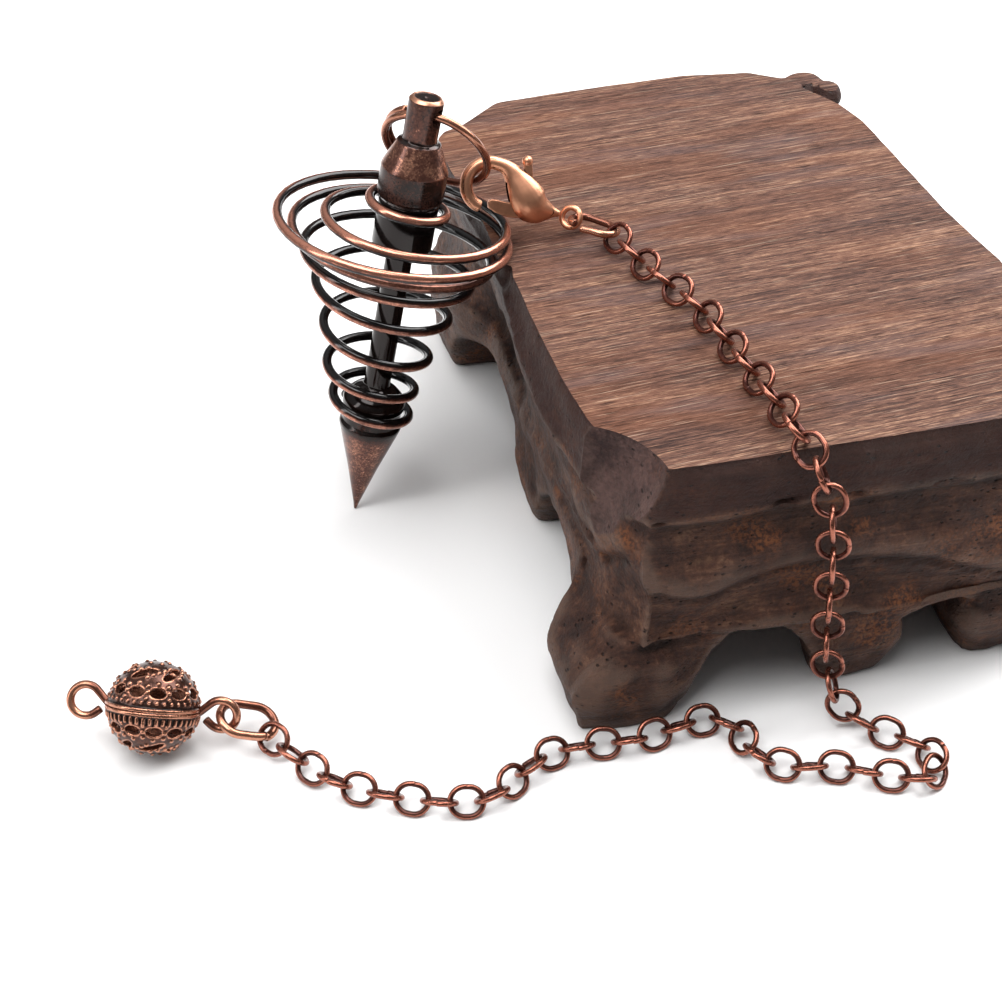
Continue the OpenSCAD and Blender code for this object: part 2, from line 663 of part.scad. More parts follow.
// Levels of the stand from the top down: height as a share of the way from the feet's
// tops to the top, and how far the sides and the corners stand out, as shares of the
// apron's flare and of the corners' reach
level_height = 0;
level_flare = 1;
level_corner = 2;
STAND_LEVELS = [[1, 0, 0], [0.93, 0.35, 0.1], [0.72, 0.75, 0.25], [0.66, 0.15, 0.3],
    [0.4, 0.7, 0.7], [0, 1, 1]];
corner_reach = 6;

function top_corner(row) =
    [stand_left + row[share_x] * stand_width, stand_front + row[share_y] * stand_depth];
stand_middle = [stand_left + stand_width / 2, stand_front + stand_depth / 2];
function stood_out(p, flare, corner) =
    let (v = p - stand_middle, x = v[0] * 2 / stand_width, y = v[1] * 2 / stand_depth)
    p + [x * flare + sign(x) * corner * x * x * pow(y, 8),
        y * flare + sign(y) * corner * y * y * pow(x, 8)];

module stand_body() {
    n = len(TOP_OUTLINE);
    levels = len(STAND_LEVELS);
    points = [for (row = STAND_LEVELS, corner = TOP_OUTLINE)
        let (p = stood_out(top_corner(corner), row[level_flare] * apron_flare,
            row[level_corner] * corner_reach))
        [p[0], p[1], foot_height + row[level_height] * (stand_height - foot_height)]];
    sides = [for (i = [0 : levels - 2], k = [0 : n - 1])
        let (m = (k + 1) % n) [i * n + k, (i + 1) * n + k, (i + 1) * n + m, i * n + m]];
    top_face = [[for (k = [0 : n - 1]) k]];
    under_face = [[for (k = [n - 1 : -1 : 0]) (levels - 1) * n + k]];
    color("#5a3226") laid_out() polyhedron(points, concat(sides, top_face, under_face));
}

// One foot, widest at half height: height as a share of the foot's, and how far its
// sides lie inside the widest
share_up = 0;
inset = 1;
FOOT_LEVELS = [[0, 1.2], [0.45, 0], [1, 0.8]];
foot_depth = 7;
foot_round = 2;
slice = 0.5;

module foot(place, size) {
    color("#4a2a20") laid_out() translate([place[0], place[1], 0]) hull()
        for (row = FOOT_LEVELS, x = [-1, 1], y = [-1, 1])
            translate([x * (size[0] / 2 - foot_round - row[inset]),
                y * (size[1] / 2 - foot_round - row[inset]), row[share_up] * (foot_height - slice)])
                cylinder(r = foot_round, h = slice, $fn = 16);
}

// Middles of the feet; those in the middle of the front and the left side lie off centre
outer = [stand_width / 2 + apron_flare, stand_depth / 2 + apron_flare];
corner_foot = [corner_foot_width, corner_foot_width];
foot_left = stand_middle[0] - outer[0] + corner_foot_width / 2;
foot_right = stand_middle[0] + outer[0] - corner_foot_width / 2;
foot_front = stand_middle[1] - outer[1] + corner_foot_width / 2;
foot_back = stand_middle[1] + outer[1] - corner_foot_width / 2;
front_row = stand_middle[1] - outer[1] + foot_depth / 2;
back_row = stand_middle[1] + outer[1] - foot_depth / 2;
left_row = stand_middle[0] - outer[0] + foot_depth / 2;
right_row = stand_middle[0] + outer[0] - foot_depth / 2;
front_share = 0.56;
left_share = 0.47;
front_middle = stand_left + stand_width * front_share;
left_middle = stand_front + stand_depth * left_share;

module foot_front_left() { foot([foot_left, foot_front], corner_foot); }
module foot_front_right() { foot([foot_right, foot_front], corner_foot); }
module foot_back_left() { foot([foot_left, foot_back], corner_foot); }
module foot_back_right() { foot([foot_right, foot_back], corner_foot); }
module foot_front_middle() { foot([front_middle, front_row], [foot_width, foot_depth]); }
module foot_back_middle() { foot([stand_middle[0], back_row], [foot_width, foot_depth]); }
module foot_left_middle() { foot([left_row, left_middle], [foot_depth, foot_width]); }
module foot_right_middle() { foot([right_row, stand_middle[1]], [foot_depth, foot_width]); }

pendulum();
coil();
jump_ring();
clasp_body();
clasp_lever();
clasp_link();
chain_top();
chain_floor();
end_ring();
bead_upper();
bead_lower();
eye_wire();
stand_body();
foot_front_left();
foot_front_middle();
foot_front_right();
foot_right_middle();
foot_back_right();
foot_back_middle();
foot_back_left();
foot_left_middle();
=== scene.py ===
"""The pendulum pendant on its wooden stand, shaped and finished for a close look.

Each sub-assembly is a class: the turned pendulum, the coil round it, the jump ring, the
clasp with its lever, the oval rings, the chain, the pierced bead on its wire, and the
carved stand. Sizes are in millimetres and repeat those of the part's source.
"""
import logging
import math
import random
from dataclasses import dataclass, field
from enum import Enum
from typing import Callable

import bmesh
import bpy
import numpy as np
from mathutils import Matrix, Vector, noise


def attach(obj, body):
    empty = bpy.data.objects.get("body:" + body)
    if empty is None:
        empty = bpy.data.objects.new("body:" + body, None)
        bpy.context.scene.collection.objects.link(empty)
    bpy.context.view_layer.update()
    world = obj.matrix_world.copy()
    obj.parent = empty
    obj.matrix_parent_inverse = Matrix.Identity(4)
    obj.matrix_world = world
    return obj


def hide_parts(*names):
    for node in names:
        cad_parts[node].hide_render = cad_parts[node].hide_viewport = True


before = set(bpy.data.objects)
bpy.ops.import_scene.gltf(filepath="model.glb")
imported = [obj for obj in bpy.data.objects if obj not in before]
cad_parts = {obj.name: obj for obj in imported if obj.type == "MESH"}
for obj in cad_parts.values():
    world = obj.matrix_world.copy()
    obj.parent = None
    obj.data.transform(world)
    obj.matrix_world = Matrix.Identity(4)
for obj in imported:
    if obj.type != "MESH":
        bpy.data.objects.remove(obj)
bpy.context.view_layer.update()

log = logging.getLogger("pendant")
MM = 0.001
IMAGE = 1002
SAME_PLACE = 0.0005


class Body(Enum):
    """The two bodies that a piece can ride on."""

    LAYOUT = "layout"
    LEVER = "lever"


class Slot(Enum):
    """The record's material slots."""

    METAL = "antique_metal"
    WIRE = "antique_wire"
    CLASP = "clasp_metal"
    CHAIN = "chain_metal"
    BEAD = "bead_metal"
    WOOD = "stand_wood"


# Places


def turn(x: float = 0, y: float = 0, z: float = 0) -> Matrix:
    """Turn about X, then Y, then Z, in degrees."""
    about = [Matrix.Rotation(math.radians(a), 4, axis) for a, axis in ((z, "Z"), (y, "Y"), (x, "X"))]
    return about[0] @ about[1] @ about[2]


def move(x: float, y: float, z: float) -> Matrix:
    """Shift by millimetres."""
    return Matrix.Translation(Vector((x, y, z)))


@dataclass(frozen=True)
class Layout:
    """Where the hard parts stand, as in the part's source."""

    shift: tuple = (-0.15, 0.85, 0.0)
    tip: tuple = (-17.2, 8.2, 0.04)
    lean_turn: float = -13.2
    lean_back: float = 9.1
    lean_side: float = 10.8
    bead: tuple = (-40.7, -19.5, 4.35)
    bead_turn: float = -18
    bead_dip: float = 4
    bead_roll: float = 42
    eye_twist: float = 17

    def pendulum(self) -> Matrix:
        """Place of the pendulum, its point at the origin and its axis along Z."""
        return (move(*self.shift) @ move(*self.tip) @ turn(z=self.lean_turn)
                @ turn(x=-self.lean_back) @ turn(y=self.lean_side))

    def ball(self) -> Matrix:
        """Place of the bead, its wire along X."""
        return (move(*self.shift) @ move(*self.bead) @ turn(z=self.bead_turn)
                @ turn(y=self.bead_dip) @ turn(x=-self.bead_roll))


LAYOUT = Layout()


# Mesh tools


def clear() -> None:
    """Leave edit mode with nothing selected."""
    if bpy.context.object and bpy.context.object.mode != "OBJECT":
        bpy.ops.object.mode_set(mode="OBJECT")
    bpy.ops.object.select_all(action="DESELECT")


def take(obj: bpy.types.Object) -> bpy.types.Object:
    """Make one object the selected and active one.

    Args:
        obj: The object.

    Returns:
        The same object.
    """
    clear()
    obj.select_set(True)
    bpy.context.view_layer.objects.active = obj
    return obj


def new_object(name: str, data: bpy.types.ID) -> bpy.types.Object:
    """Link an object for a mesh, a curve, a light or a camera.

    Args:
        name: Name of the object.
        data: What the object shows.

    Returns:
        The new object.
    """
    obj = bpy.data.objects.new(name, data)
    bpy.context.scene.collection.objects.link(obj)
    return obj


def sphere(rounds: int, radius: float, place: Matrix) -> bpy.types.Object:
    """Add a ball, or with a stretching place an egg.

    Args:
        rounds: Rounds of splitting of its faces.
        radius: Its radius, in millimetres.
        place: Where it goes.

    Returns:
        The new object.
    """
    clear()
    bpy.ops.mesh.primitive_ico_sphere_add(subdivisions=rounds, radius=radius)
    obj = bpy.context.object
    obj.data.transform(place)
    return obj


def node_copy(name: str, node: str) -> bpy.types.Object:
    """Copy a CAD node's mesh, in millimetres, its doubled corners merged.

    Args:
        name: Name of the new object.
        node: Name of the CAD node.

    Returns:
        The new object.
    """
    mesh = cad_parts[node].data.copy()
    mesh.materials.clear()
    mesh.transform(Matrix.Scale(1 / MM, 4))
    obj = new_object(name, mesh)
    edit(obj, lambda bm: bmesh.ops.remove_doubles(bm, verts=bm.verts, dist=SAME_PLACE))
    return obj


def edit(obj: bpy.types.Object, work: Callable[[bmesh.types.BMesh], object]) -> None:
    """Run a function on an object's mesh, as a bmesh.

    Args:
        obj: The mesh.
        work: What is done to it.
    """
    bm = bmesh.new()
    bm.from_mesh(obj.data)
    work(bm)
    bm.to_mesh(obj.data)
    bm.free()
    obj.data.update()


def join(name: str, parts: list) -> bpy.types.Object:
    """Join objects into the first.

    Args:
        name: Name of the joined object.
        parts: The objects.

    Returns:
        The first object, which then holds all of them.
    """
    take(parts[0])
    for part in parts:
        part.select_set(True)
    if len(parts) > 1:
        bpy.ops.object.join()
    parts[0].name = name
    return parts[0]


def apply_modifier(obj: bpy.types.Object, kind: str, **settings: object) -> None:
    """Add a modifier and apply it.

    Args:
        obj: The mesh.
        kind: Blender's name of the modifier's type.
        settings: The modifier's own settings.
    """
    take(obj)
    modifier = obj.modifiers.new(kind.lower(), kind)
    for key, value in settings.items():
        setattr(modifier, key, value)
    bpy.ops.object.modifier_apply(modifier=modifier.name)


def cut_away(obj: bpy.types.Object, knife: bpy.types.Object) -> None:
    """Take one solid away from another.

    Args:
        obj: The solid that stays.
        knife: The solid that is taken away, and removed.
    """
    apply_modifier(obj, "BOOLEAN", operation="DIFFERENCE", object=knife, solver="EXACT")
    bpy.data.objects.remove(knife)


def remesh(obj: bpy.types.Object, voxel: float, smooth_rounds: int) -> None:
    """Give a mesh one even skin, and soften it as casting and wear do.

    Args:
        obj: The mesh, in millimetres.
        voxel: Size of the skin's faces.
        smooth_rounds: Rounds of smoothing.
    """
    apply_modifier(obj, "REMESH", mode="VOXEL", voxel_size=voxel, use_smooth_shade=True)
    if smooth_rounds:
        apply_modifier(obj, "SMOOTH", factor=0.5, iterations=smooth_rounds)


def places(obj: bpy.types.Object) -> np.ndarray:
    """Read the corners' places.

    Args:
        obj: The mesh.

    Returns:
        One row a corner.
    """
    out = np.empty(len(obj.data.vertices) * 3, np.float32)
    obj.data.vertices.foreach_get("co", out)
    return out.reshape(-1, 3).astype(float)


def normals(obj: bpy.types.Object) -> np.ndarray:
    """Read the corners' normals.

    Args:
        obj: The mesh.

    Returns:
        One row a corner.
    """
    out = np.empty(len(obj.data.vertices) * 3, np.float32)
    obj.data.vertex_normals.foreach_get("vector", out)
    return out.reshape(-1, 3).astype(float)


def put_places(obj: bpy.types.Object, rows: np.ndarray) -> None:
    """Move the corners to new places."""
    obj.data.vertices.foreach_set("co", rows.astype(np.float32).ravel())
    obj.data.update()


def neighbour_mean(obj: bpy.types.Object, values: np.ndarray, rounds: int) -> np.ndarray:
    """Average values over neighbouring corners.

    Args:
        obj: The mesh.
        values: One value a corner.
        rounds: How many times they are averaged.

    Returns:
        One value a corner.
    """
    ends = np.empty(len(obj.data.edges) * 2, np.int32)
    obj.data.edges.foreach_get("vertices", ends)
    a, b = ends.reshape(-1, 2).T
    n = len(obj.data.vertices)
    count = np.maximum(np.bincount(a, minlength=n) + np.bincount(b, minlength=n), 1)
    for _ in range(rounds):
        total = np.bincount(a, values[b], n) + np.bincount(b, values[a], n)
        values = total / count
    return values


def standing_out(obj: bpy.types.Object, before: int, after: int) -> np.ndarray:
    """How far each corner stands out of what is round it, in millimetres.

    Args:
        obj: The mesh.
        before: Rounds of averaging that give what is round a corner.
        after: Rounds of averaging of the result.

    Returns:
        One value a corner, above 0 on edges and bumps, below 0 in grooves.
    """
    rows, n = places(obj), normals(obj)
    mean = np.stack([neighbour_mean(obj, rows[:, i], before) for i in range(3)], 1)
    return neighbour_mean(obj, ((rows - mean) * n).sum(1), after)


def mark(obj: bpy.types.Object, name: str, values: np.ndarray) -> None:
    """Keep one value a corner on the mesh, for its material."""
    layer = obj.data.attributes.new(name, "FLOAT", "POINT")
    layer.data.foreach_set("value", np.clip(values, 0, 1).astype(np.float32))


def ramp(values: np.ndarray, low: float, high: float) -> np.ndarray:
    """Smooth step from 0 at low to 1 at high."""
    t = np.clip((values - low) / (high - low), 0, 1)
    return t * t * (3 - 2 * t)


def cloud(rows: np.ndarray, size: float, seed: float) -> np.ndarray:
    """Smooth noise from about -1 to 1 with lumps of a size."""
    at = rows / size + seed
    return np.array([noise.noise(Vector(p)) for p in at])


def finish_piece(obj: bpy.types.Object, finish: bpy.types.Material, slot: Slot, body: Body,
                 *nodes: str) -> None:
    """Bring a mesh from millimetres to metres, dress it, and say what it stands for.

    Args:
        obj: The finished mesh, in millimetres.
        finish: Its material.
        slot: The record's material slot; not used.
        body: The body that it rides on.
        nodes: The CAD nodes that it replaces.
    """
    obj.data.transform(Matrix.Scale(MM, 4))
    obj.data.materials.clear()
    obj.data.materials.append(finish)
    obj.data.update()
    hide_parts(*nodes)
    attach(obj, body.value)
    clear()
    log.info("%s: %d faces on %s, for %s", obj.name, len(obj.data.polygons), body.value, nodes)


def shade(obj: bpy.types.Object, angle: float = 180) -> None:
    """Shade smoothly, but for sharp edges.

    Args:
        obj: The mesh.
        angle: Edges sharper than this many degrees stay sharp.
    """
    take(obj)
    if angle >= 180:
        bpy.ops.object.shade_smooth()
    else:
        bpy.ops.object.shade_smooth_by_angle(angle=math.radians(angle))


def wire(name: str, points: list, width: float, sides: int = 16,
         swell: tuple | list = ()) -> bpy.types.Object:
    """Draw a round wire along points as a curve, and make it a mesh.

    Args:
        name: Name of the object.
        points: Middle line, in millimetres.
        width: Diameter of the wire.
        sides: Faces round the wire, a multiple of 4.
        swell: How thick each point is, as a share of the width; all 1 if not given.

    Returns:
        The wire, as a smooth mesh.
    """
    rows = [Vector(p) for p in points]
    radii = list(swell) or [1.0] * len(rows)
    first = (rows[0] - rows[1]).normalized() * width * radii[0]
    last = (rows[-1] - rows[-2]).normalized() * width * radii[-1]
    # Both ends are rounded: how far each step stands out, and how thick it is
    lead = [(0.13, 0.72), (0.08, 0.88), (0.03, 0.97)]
    rows = ([rows[0] + first * d for d, _ in lead] + rows
            + [rows[-1] + last * d for d, _ in reversed(lead)])
    radii = ([r * radii[0] for _, r in lead] + radii + [r * radii[-1] for _, r in reversed(lead)])
    curve = bpy.data.curves.new(name, "CURVE")
    curve.dimensions = "3D"
    curve.bevel_depth = width / 2
    curve.bevel_resolution = sides // 4 * 2 - 2
    curve.use_fill_caps = True
    line = curve.splines.new("POLY")
    line.points.add(len(rows) - 1)
    for point, place, radius in zip(line.points, rows, radii):
        point.co = (*place, 1)
        point.radius = radius
    obj = take(new_object(name, curve))
    bpy.ops.object.convert(target="MESH")
    obj = bpy.context.object
    edit(obj, lambda bm: (bmesh.ops.remove_doubles(bm, verts=bm.verts, dist=SAME_PLACE),
                          bmesh.ops.recalc_face_normals(bm, faces=bm.faces)))
    shade(obj, 50)
    return obj


def turned(name: str, profile: list, steps: int) -> bpy.types.Object:
    """Turn a profile round the Z axis, as on a lathe.

    Args:
        name: Name of the object.
        profile: Radius and height of each corner, from the bottom to the top.
        steps: Faces round the axis.

    Returns:
        The closed solid.
    """
    mesh = bpy.data.meshes.new(name)
    corners = [(r, 0.0, z) for r, z in profile]
    mesh.from_pydata(corners, [(i, i + 1) for i in range(len(corners) - 1)], [])
    obj = take(new_object(name, mesh))
    bpy.ops.object.mode_set(mode="EDIT")
    bpy.ops.mesh.select_all(action="SELECT")
    bpy.ops.mesh.spin(steps=steps, angle=math.tau, center=(0, 0, 0), axis=(0, 0, 1))
    bpy.ops.mesh.select_all(action="SELECT")
    bpy.ops.mesh.remove_doubles(threshold=SAME_PLACE)
    bpy.ops.mesh.normals_make_consistent(inside=False)
    bpy.ops.object.mode_set(mode="OBJECT")
    return obj


def rounded(profile: list, steps: int = 4) -> list:
    """Round the corners of a profile.

    Args:
        profile: Radius, height and rounding of each corner.
        steps: Faces in a rounded corner.

    Returns:
        Radius and height of each new corner.
    """
    out = []
    for i, (r, z, size) in enumerate(profile):
        here = Vector((r, z))
        if not size or i in (0, len(profile) - 1):
            out.append((r, z))
            continue
        a, b = Vector(profile[i - 1][:2]), Vector(profile[i + 1][:2])
        cut = min(size, (a - here).length * 0.49, (b - here).length * 0.49)
        start = here + (a - here).normalized() * cut
        end = here + (b - here).normalized() * cut
        for k in range(steps + 1):
            t = k / steps
            out.append(tuple(start * (1 - t) ** 2 + here * 2 * t * (1 - t) + end * t * t))
    return out


def prism(name: str, outline: list, low: float, high: float) -> bpy.types.Object:
    """Give a flat outline a thickness.

    Args:
        name: Name of the object.
        outline: Corners in the XY plane, in order.
        low: Height of its underside.
        high: Height of its top.

    Returns:
        The closed solid.
    """
    mesh = bpy.data.meshes.new(name)
    mesh.from_pydata([(x, y, low) for x, y in outline], [], [list(range(len(outline)))])
    obj = take(new_object(name, mesh))
    bpy.ops.object.mode_set(mode="EDIT")
    bpy.ops.mesh.select_all(action="SELECT")
    bpy.ops.mesh.extrude_region_move(TRANSFORM_OT_translate={"value": (0, 0, high - low)})
    bpy.ops.mesh.select_all(action="SELECT")
    bpy.ops.mesh.normals_make_consistent(inside=False)
    bpy.ops.object.mode_set(mode="OBJECT")
    return obj


def smooth_line(rows: list, steps: int) -> list:
    """Draw a smooth curve through rows of numbers.

    Args:
        rows: The rows that the curve passes through, in order.
        steps: Steps from one row to the next.

    Returns:
        The rows on the curve.
    """
    rows = [np.array(r, float) for r in rows]
    out, n = [], len(rows)
    for i in range(n - 1):
        a, b, c, d = (rows[min(max(i + k, 0), n - 1)] for k in (-1, 0, 1, 2))
        for t in np.arange(steps) / steps:
            out.append(0.5 * (2 * b + (c - a) * t + (2 * a - 5 * b + 4 * c - d) * t**2
                              + (3 * b - a - 3 * c + d) * t**3))
    return out + [rows[-1]]


# Shader tools


def paint(red: int, green: int, blue: int) -> tuple:
    """Turn a colour as it looks on a screen into the shader's own numbers.

    Args:
        red: Red, 0 to 255.
        green: Green, 0 to 255.
        blue: Blue, 0 to 255.

    Returns:
        The linear colour, with an alpha of 1.
    """
    def linear(v: float) -> float:
        """One channel."""
        v /= 255
        return v / 12.92 if v <= 0.04045 else ((v + 0.055) / 1.055) ** 2.4

    return (linear(red), linear(green), linear(blue), 1.0)


class Value:
    """A number on a surface, which plain arithmetic can be written with."""

    def __init__(self, graph: "Graph", socket: bpy.types.NodeSocket) -> None:
        """Keep the socket that gives the number."""
        self.graph, self.socket = graph, socket

    def _with(self, kind: str, *values: "Value | float") -> "Value":
        """A Math node on numbers or values."""
        return self.graph.value("ShaderNodeMath", {"operation": kind}, *values)

    def __add__(self, other: "Value | float") -> "Value":
        """The sum."""
        return self._with("ADD", self, other)

    def __sub__(self, other: "Value | float") -> "Value":
        """The difference."""
        return self._with("SUBTRACT", self, other)

    def __rsub__(self, other: float) -> "Value":
        """The difference from a number."""
        return self._with("SUBTRACT", other, self)

    def __mul__(self, other: "Value | float") -> "Value":
        """The product."""
        return self._with("MULTIPLY", self, other)

    def step(self, low: float, high: float) -> "Value":
        """Smooth step from 0 at low to 1 at high."""
        settings = {"interpolation_type": "SMOOTHSTEP", "clamp": True}
        return self.graph.value("ShaderNodeMapRange", settings, self, low, high, 0.0, 1.0)


class Graph:
    """A material's nodes, built up in Python."""

    def __init__(self, name: str) -> None:
        """Start a material with one shader.

        Args:
            name: Name of the material.
        """
        self.material = bpy.data.materials.new(name)
        self.material.use_nodes = True
        self.tree = self.material.node_tree
        self.shader = self.tree.nodes["Principled BSDF"]
        self.place = self.node("ShaderNodeTexCoord", {}).outputs["Object"]

    def node(self, kind: str, settings: dict, *values: object, **named: object) -> bpy.types.Node:
        """Add a node.

        Args:
            kind: Blender's name of the node's type.
            settings: The node's own settings, and "stops" for a ramp.
            values: Values or links of its first sockets, in order.
            named: Values or links of sockets by name, with _ for a space.

        Returns:
            The node.
        """
        node = self.tree.nodes.new(kind)
        for key, value in settings.items():
            if key == "stops":
                self._stops(node.color_ramp, value)
            else:
                setattr(node, key, value)
        pairs = list(zip([s for s in node.inputs if s.enabled], values))
        pairs += [(node.inputs[k.replace("_", " ")], v) for k, v in named.items()]
        for socket, value in pairs:
            self.feed(socket, value)
        return node

    @staticmethod
    def _stops(scale: bpy.types.ColorRamp, stops: tuple | list) -> None:
        """Set a colour scale's stops.

        Args:
            scale: The colour scale.
            stops: Place and colour of each stop, in order.
        """
        while len(scale.elements) < len(stops):
            scale.elements.new(1.0)
        for element, (at, colour) in zip(scale.elements, stops):
            element.position, element.color = at, colour

    def feed(self, socket: bpy.types.NodeSocket, value: object) -> None:
        """Link or set one socket.

        Args:
            socket: The socket.
            value: A value or a socket to link, or what to set.
        """
        if isinstance(value, Value):
            value = value.socket
        if isinstance(value, bpy.types.NodeSocket):
            self.tree.links.new(value, socket)
        else:
            socket.default_value = value

    def value(self, kind: str, settings: dict, *values: object, **named: object) -> Value:
        """A node's first output as a number."""
        return Value(self, self.node(kind, settings, *values, **named).outputs[0])

    def mapped(self, scale: tuple, turned_by: tuple = (0, 0, 0)) -> bpy.types.NodeSocket:
        """Object coordinates, scaled and turned.

        Args:
            scale: Features a millimetre along each axis.
            turned_by: Turn of the pattern, in degrees.

        Returns:
            The socket that gives them.
        """
        node = self.node("ShaderNodeMapping", {"vector_type": "TEXTURE"}, Vector=self.place,
                         Scale=tuple(MM / s for s in scale),
                         Rotation=tuple(math.radians(a) for a in turned_by))
        return node.outputs[0]

    def noise(self, scale: float | tuple, detail: float = 3, rough: float = 0.5, bend: float = 0,
              turned_by: tuple = (0, 0, 0)) -> Value:
        """Cloudy noise.

        Args:
            scale: Features a millimetre, one number or one an axis.
            detail: How many finer layers it has.
            rough: How strong the finer layers are.
            bend: How much it is warped.
            turned_by: Turn of the pattern, in degrees.

        Returns:
            The noise, about 0.5 in the mean.
        """
        scale = scale if isinstance(scale, tuple) else (scale,) * 3
        return self.value("ShaderNodeTexNoise", {}, Vector=self.mapped(scale, turned_by),
                          Scale=1.0, Detail=detail, Roughness=rough, Distortion=bend)

    def cells(self, scale: float | tuple) -> Value:
        """Distance to the nearest of scattered points, so many a millimetre."""
        scale = scale if isinstance(scale, tuple) else (scale,) * 3
        return self.value("ShaderNodeTexVoronoi", {}, Vector=self.mapped(scale), Scale=1.0)

    def kept(self, name: str) -> Value:
        """A value kept on the mesh."""
        node = self.node("ShaderNodeAttribute", {"attribute_name": name})
        return Value(self, node.outputs["Fac"])

    def axis(self, name: str) -> Value:
        """One of the place's coordinates, in millimetres."""
        node = self.node("ShaderNodeSeparateXYZ", {}, self.place)
        return Value(self, node.outputs[name]) * (1 / MM)

    def facing_up(self) -> Value:
        """How far the surface looks up, from -1 to 1."""
        out = self.node("ShaderNodeNewGeometry", {}).outputs["Normal"]
        return Value(self, self.node("ShaderNodeSeparateXYZ", {}, out).outputs["Z"])

    def blend(self, share: object, under: object, over: object) -> bpy.types.NodeSocket:
        """Mix two colours.

        Args:
            share: How much of the second colour, a number or a value.
            under: The first colour.
            over: The second colour.

        Returns:
            The socket that gives the mixed colour.
        """
        node = self.tree.nodes.new("ShaderNodeMix")
        node.data_type = "RGBA"
        node.clamp_factor = True
        # Of the node's sockets, 0 is the share, 6 and 7 are the two colours, and 2 is the result
        for index, value in ((0, share), (6, under), (7, over)):
            self.feed(node.inputs[index], value)
        return node.outputs[2]

    def colours(self, share: Value, stops: tuple | list) -> bpy.types.NodeSocket:
        """A colour from a value through a ramp."""
        return self.node("ShaderNodeValToRGB", {"stops": stops}, share).outputs[0]

    def bump(self, height: Value, depth: float) -> None:
        """Give the surface a fine relief, its depth in millimetres."""
        node = self.node("ShaderNodeBump", {}, Height=height, Distance=depth * MM, Strength=1.0)
        self.feed(self.shader.inputs["Normal"], node.outputs[0])

    def dress(self, **sockets: object) -> bpy.types.Material:
        """Set or link the shader's sockets, and give the material."""
        for key, value in sockets.items():
            self.feed(self.shader.inputs[key.replace("_", " ")], value)
        return self.material


@dataclass(frozen=True)
class AgedMetal:
    """Antiqued copper: dark in its hollows, brown between, and bright where it is rubbed.

    The mesh keeps "worn", how rubbed each corner is, and "polish", how dark and polished.
    """

    name: str
    dark: tuple
    brown: tuple
    bright: tuple
    rub: float = 1.0
    start: float = 0.0
    clouding: float = 0.5
    speckle: float = 0.5
    speckle_size: float = 3.0
    rough_dark: float = 0.22
    rough_bright: float = 0.3
    metal_dark: float = 0.6
    relief: float = 0.006

    def material(self) -> bpy.types.Material:
        """Make the finish.

        Returns:
            The material.
        """
        g = Graph(self.name)
        worn, polish = g.kept("worn"), g.kept("polish")
        wide = g.noise(0.55, 3) - 0.5
        fine = g.noise(self.speckle_size, 4, 0.65)
        specks = g.cells(self.speckle_size * 1.3)
        share = (worn * self.rub + self.start + wide * self.clouding
                 + (fine - 0.5) * self.speckle + (0.45 - specks) * self.speckle * 0.35).step(0.05, 1.0)
        share = share * (1 - polish * 0.85)
        colour = g.colours(share, [(0.0, self.dark), (0.45, self.brown), (0.85, self.bright)])
        g.bump((fine - specks * 0.3) * (1 - polish), self.relief)
        return g.dress(
            Base_Color=colour,
            Metallic=share * (1 - self.metal_dark) * 0.9 + self.metal_dark,
            Roughness=share * (self.rough_bright - self.rough_dark) + self.rough_dark
            + (fine - 0.5) * 0.12 - polish * 0.08)


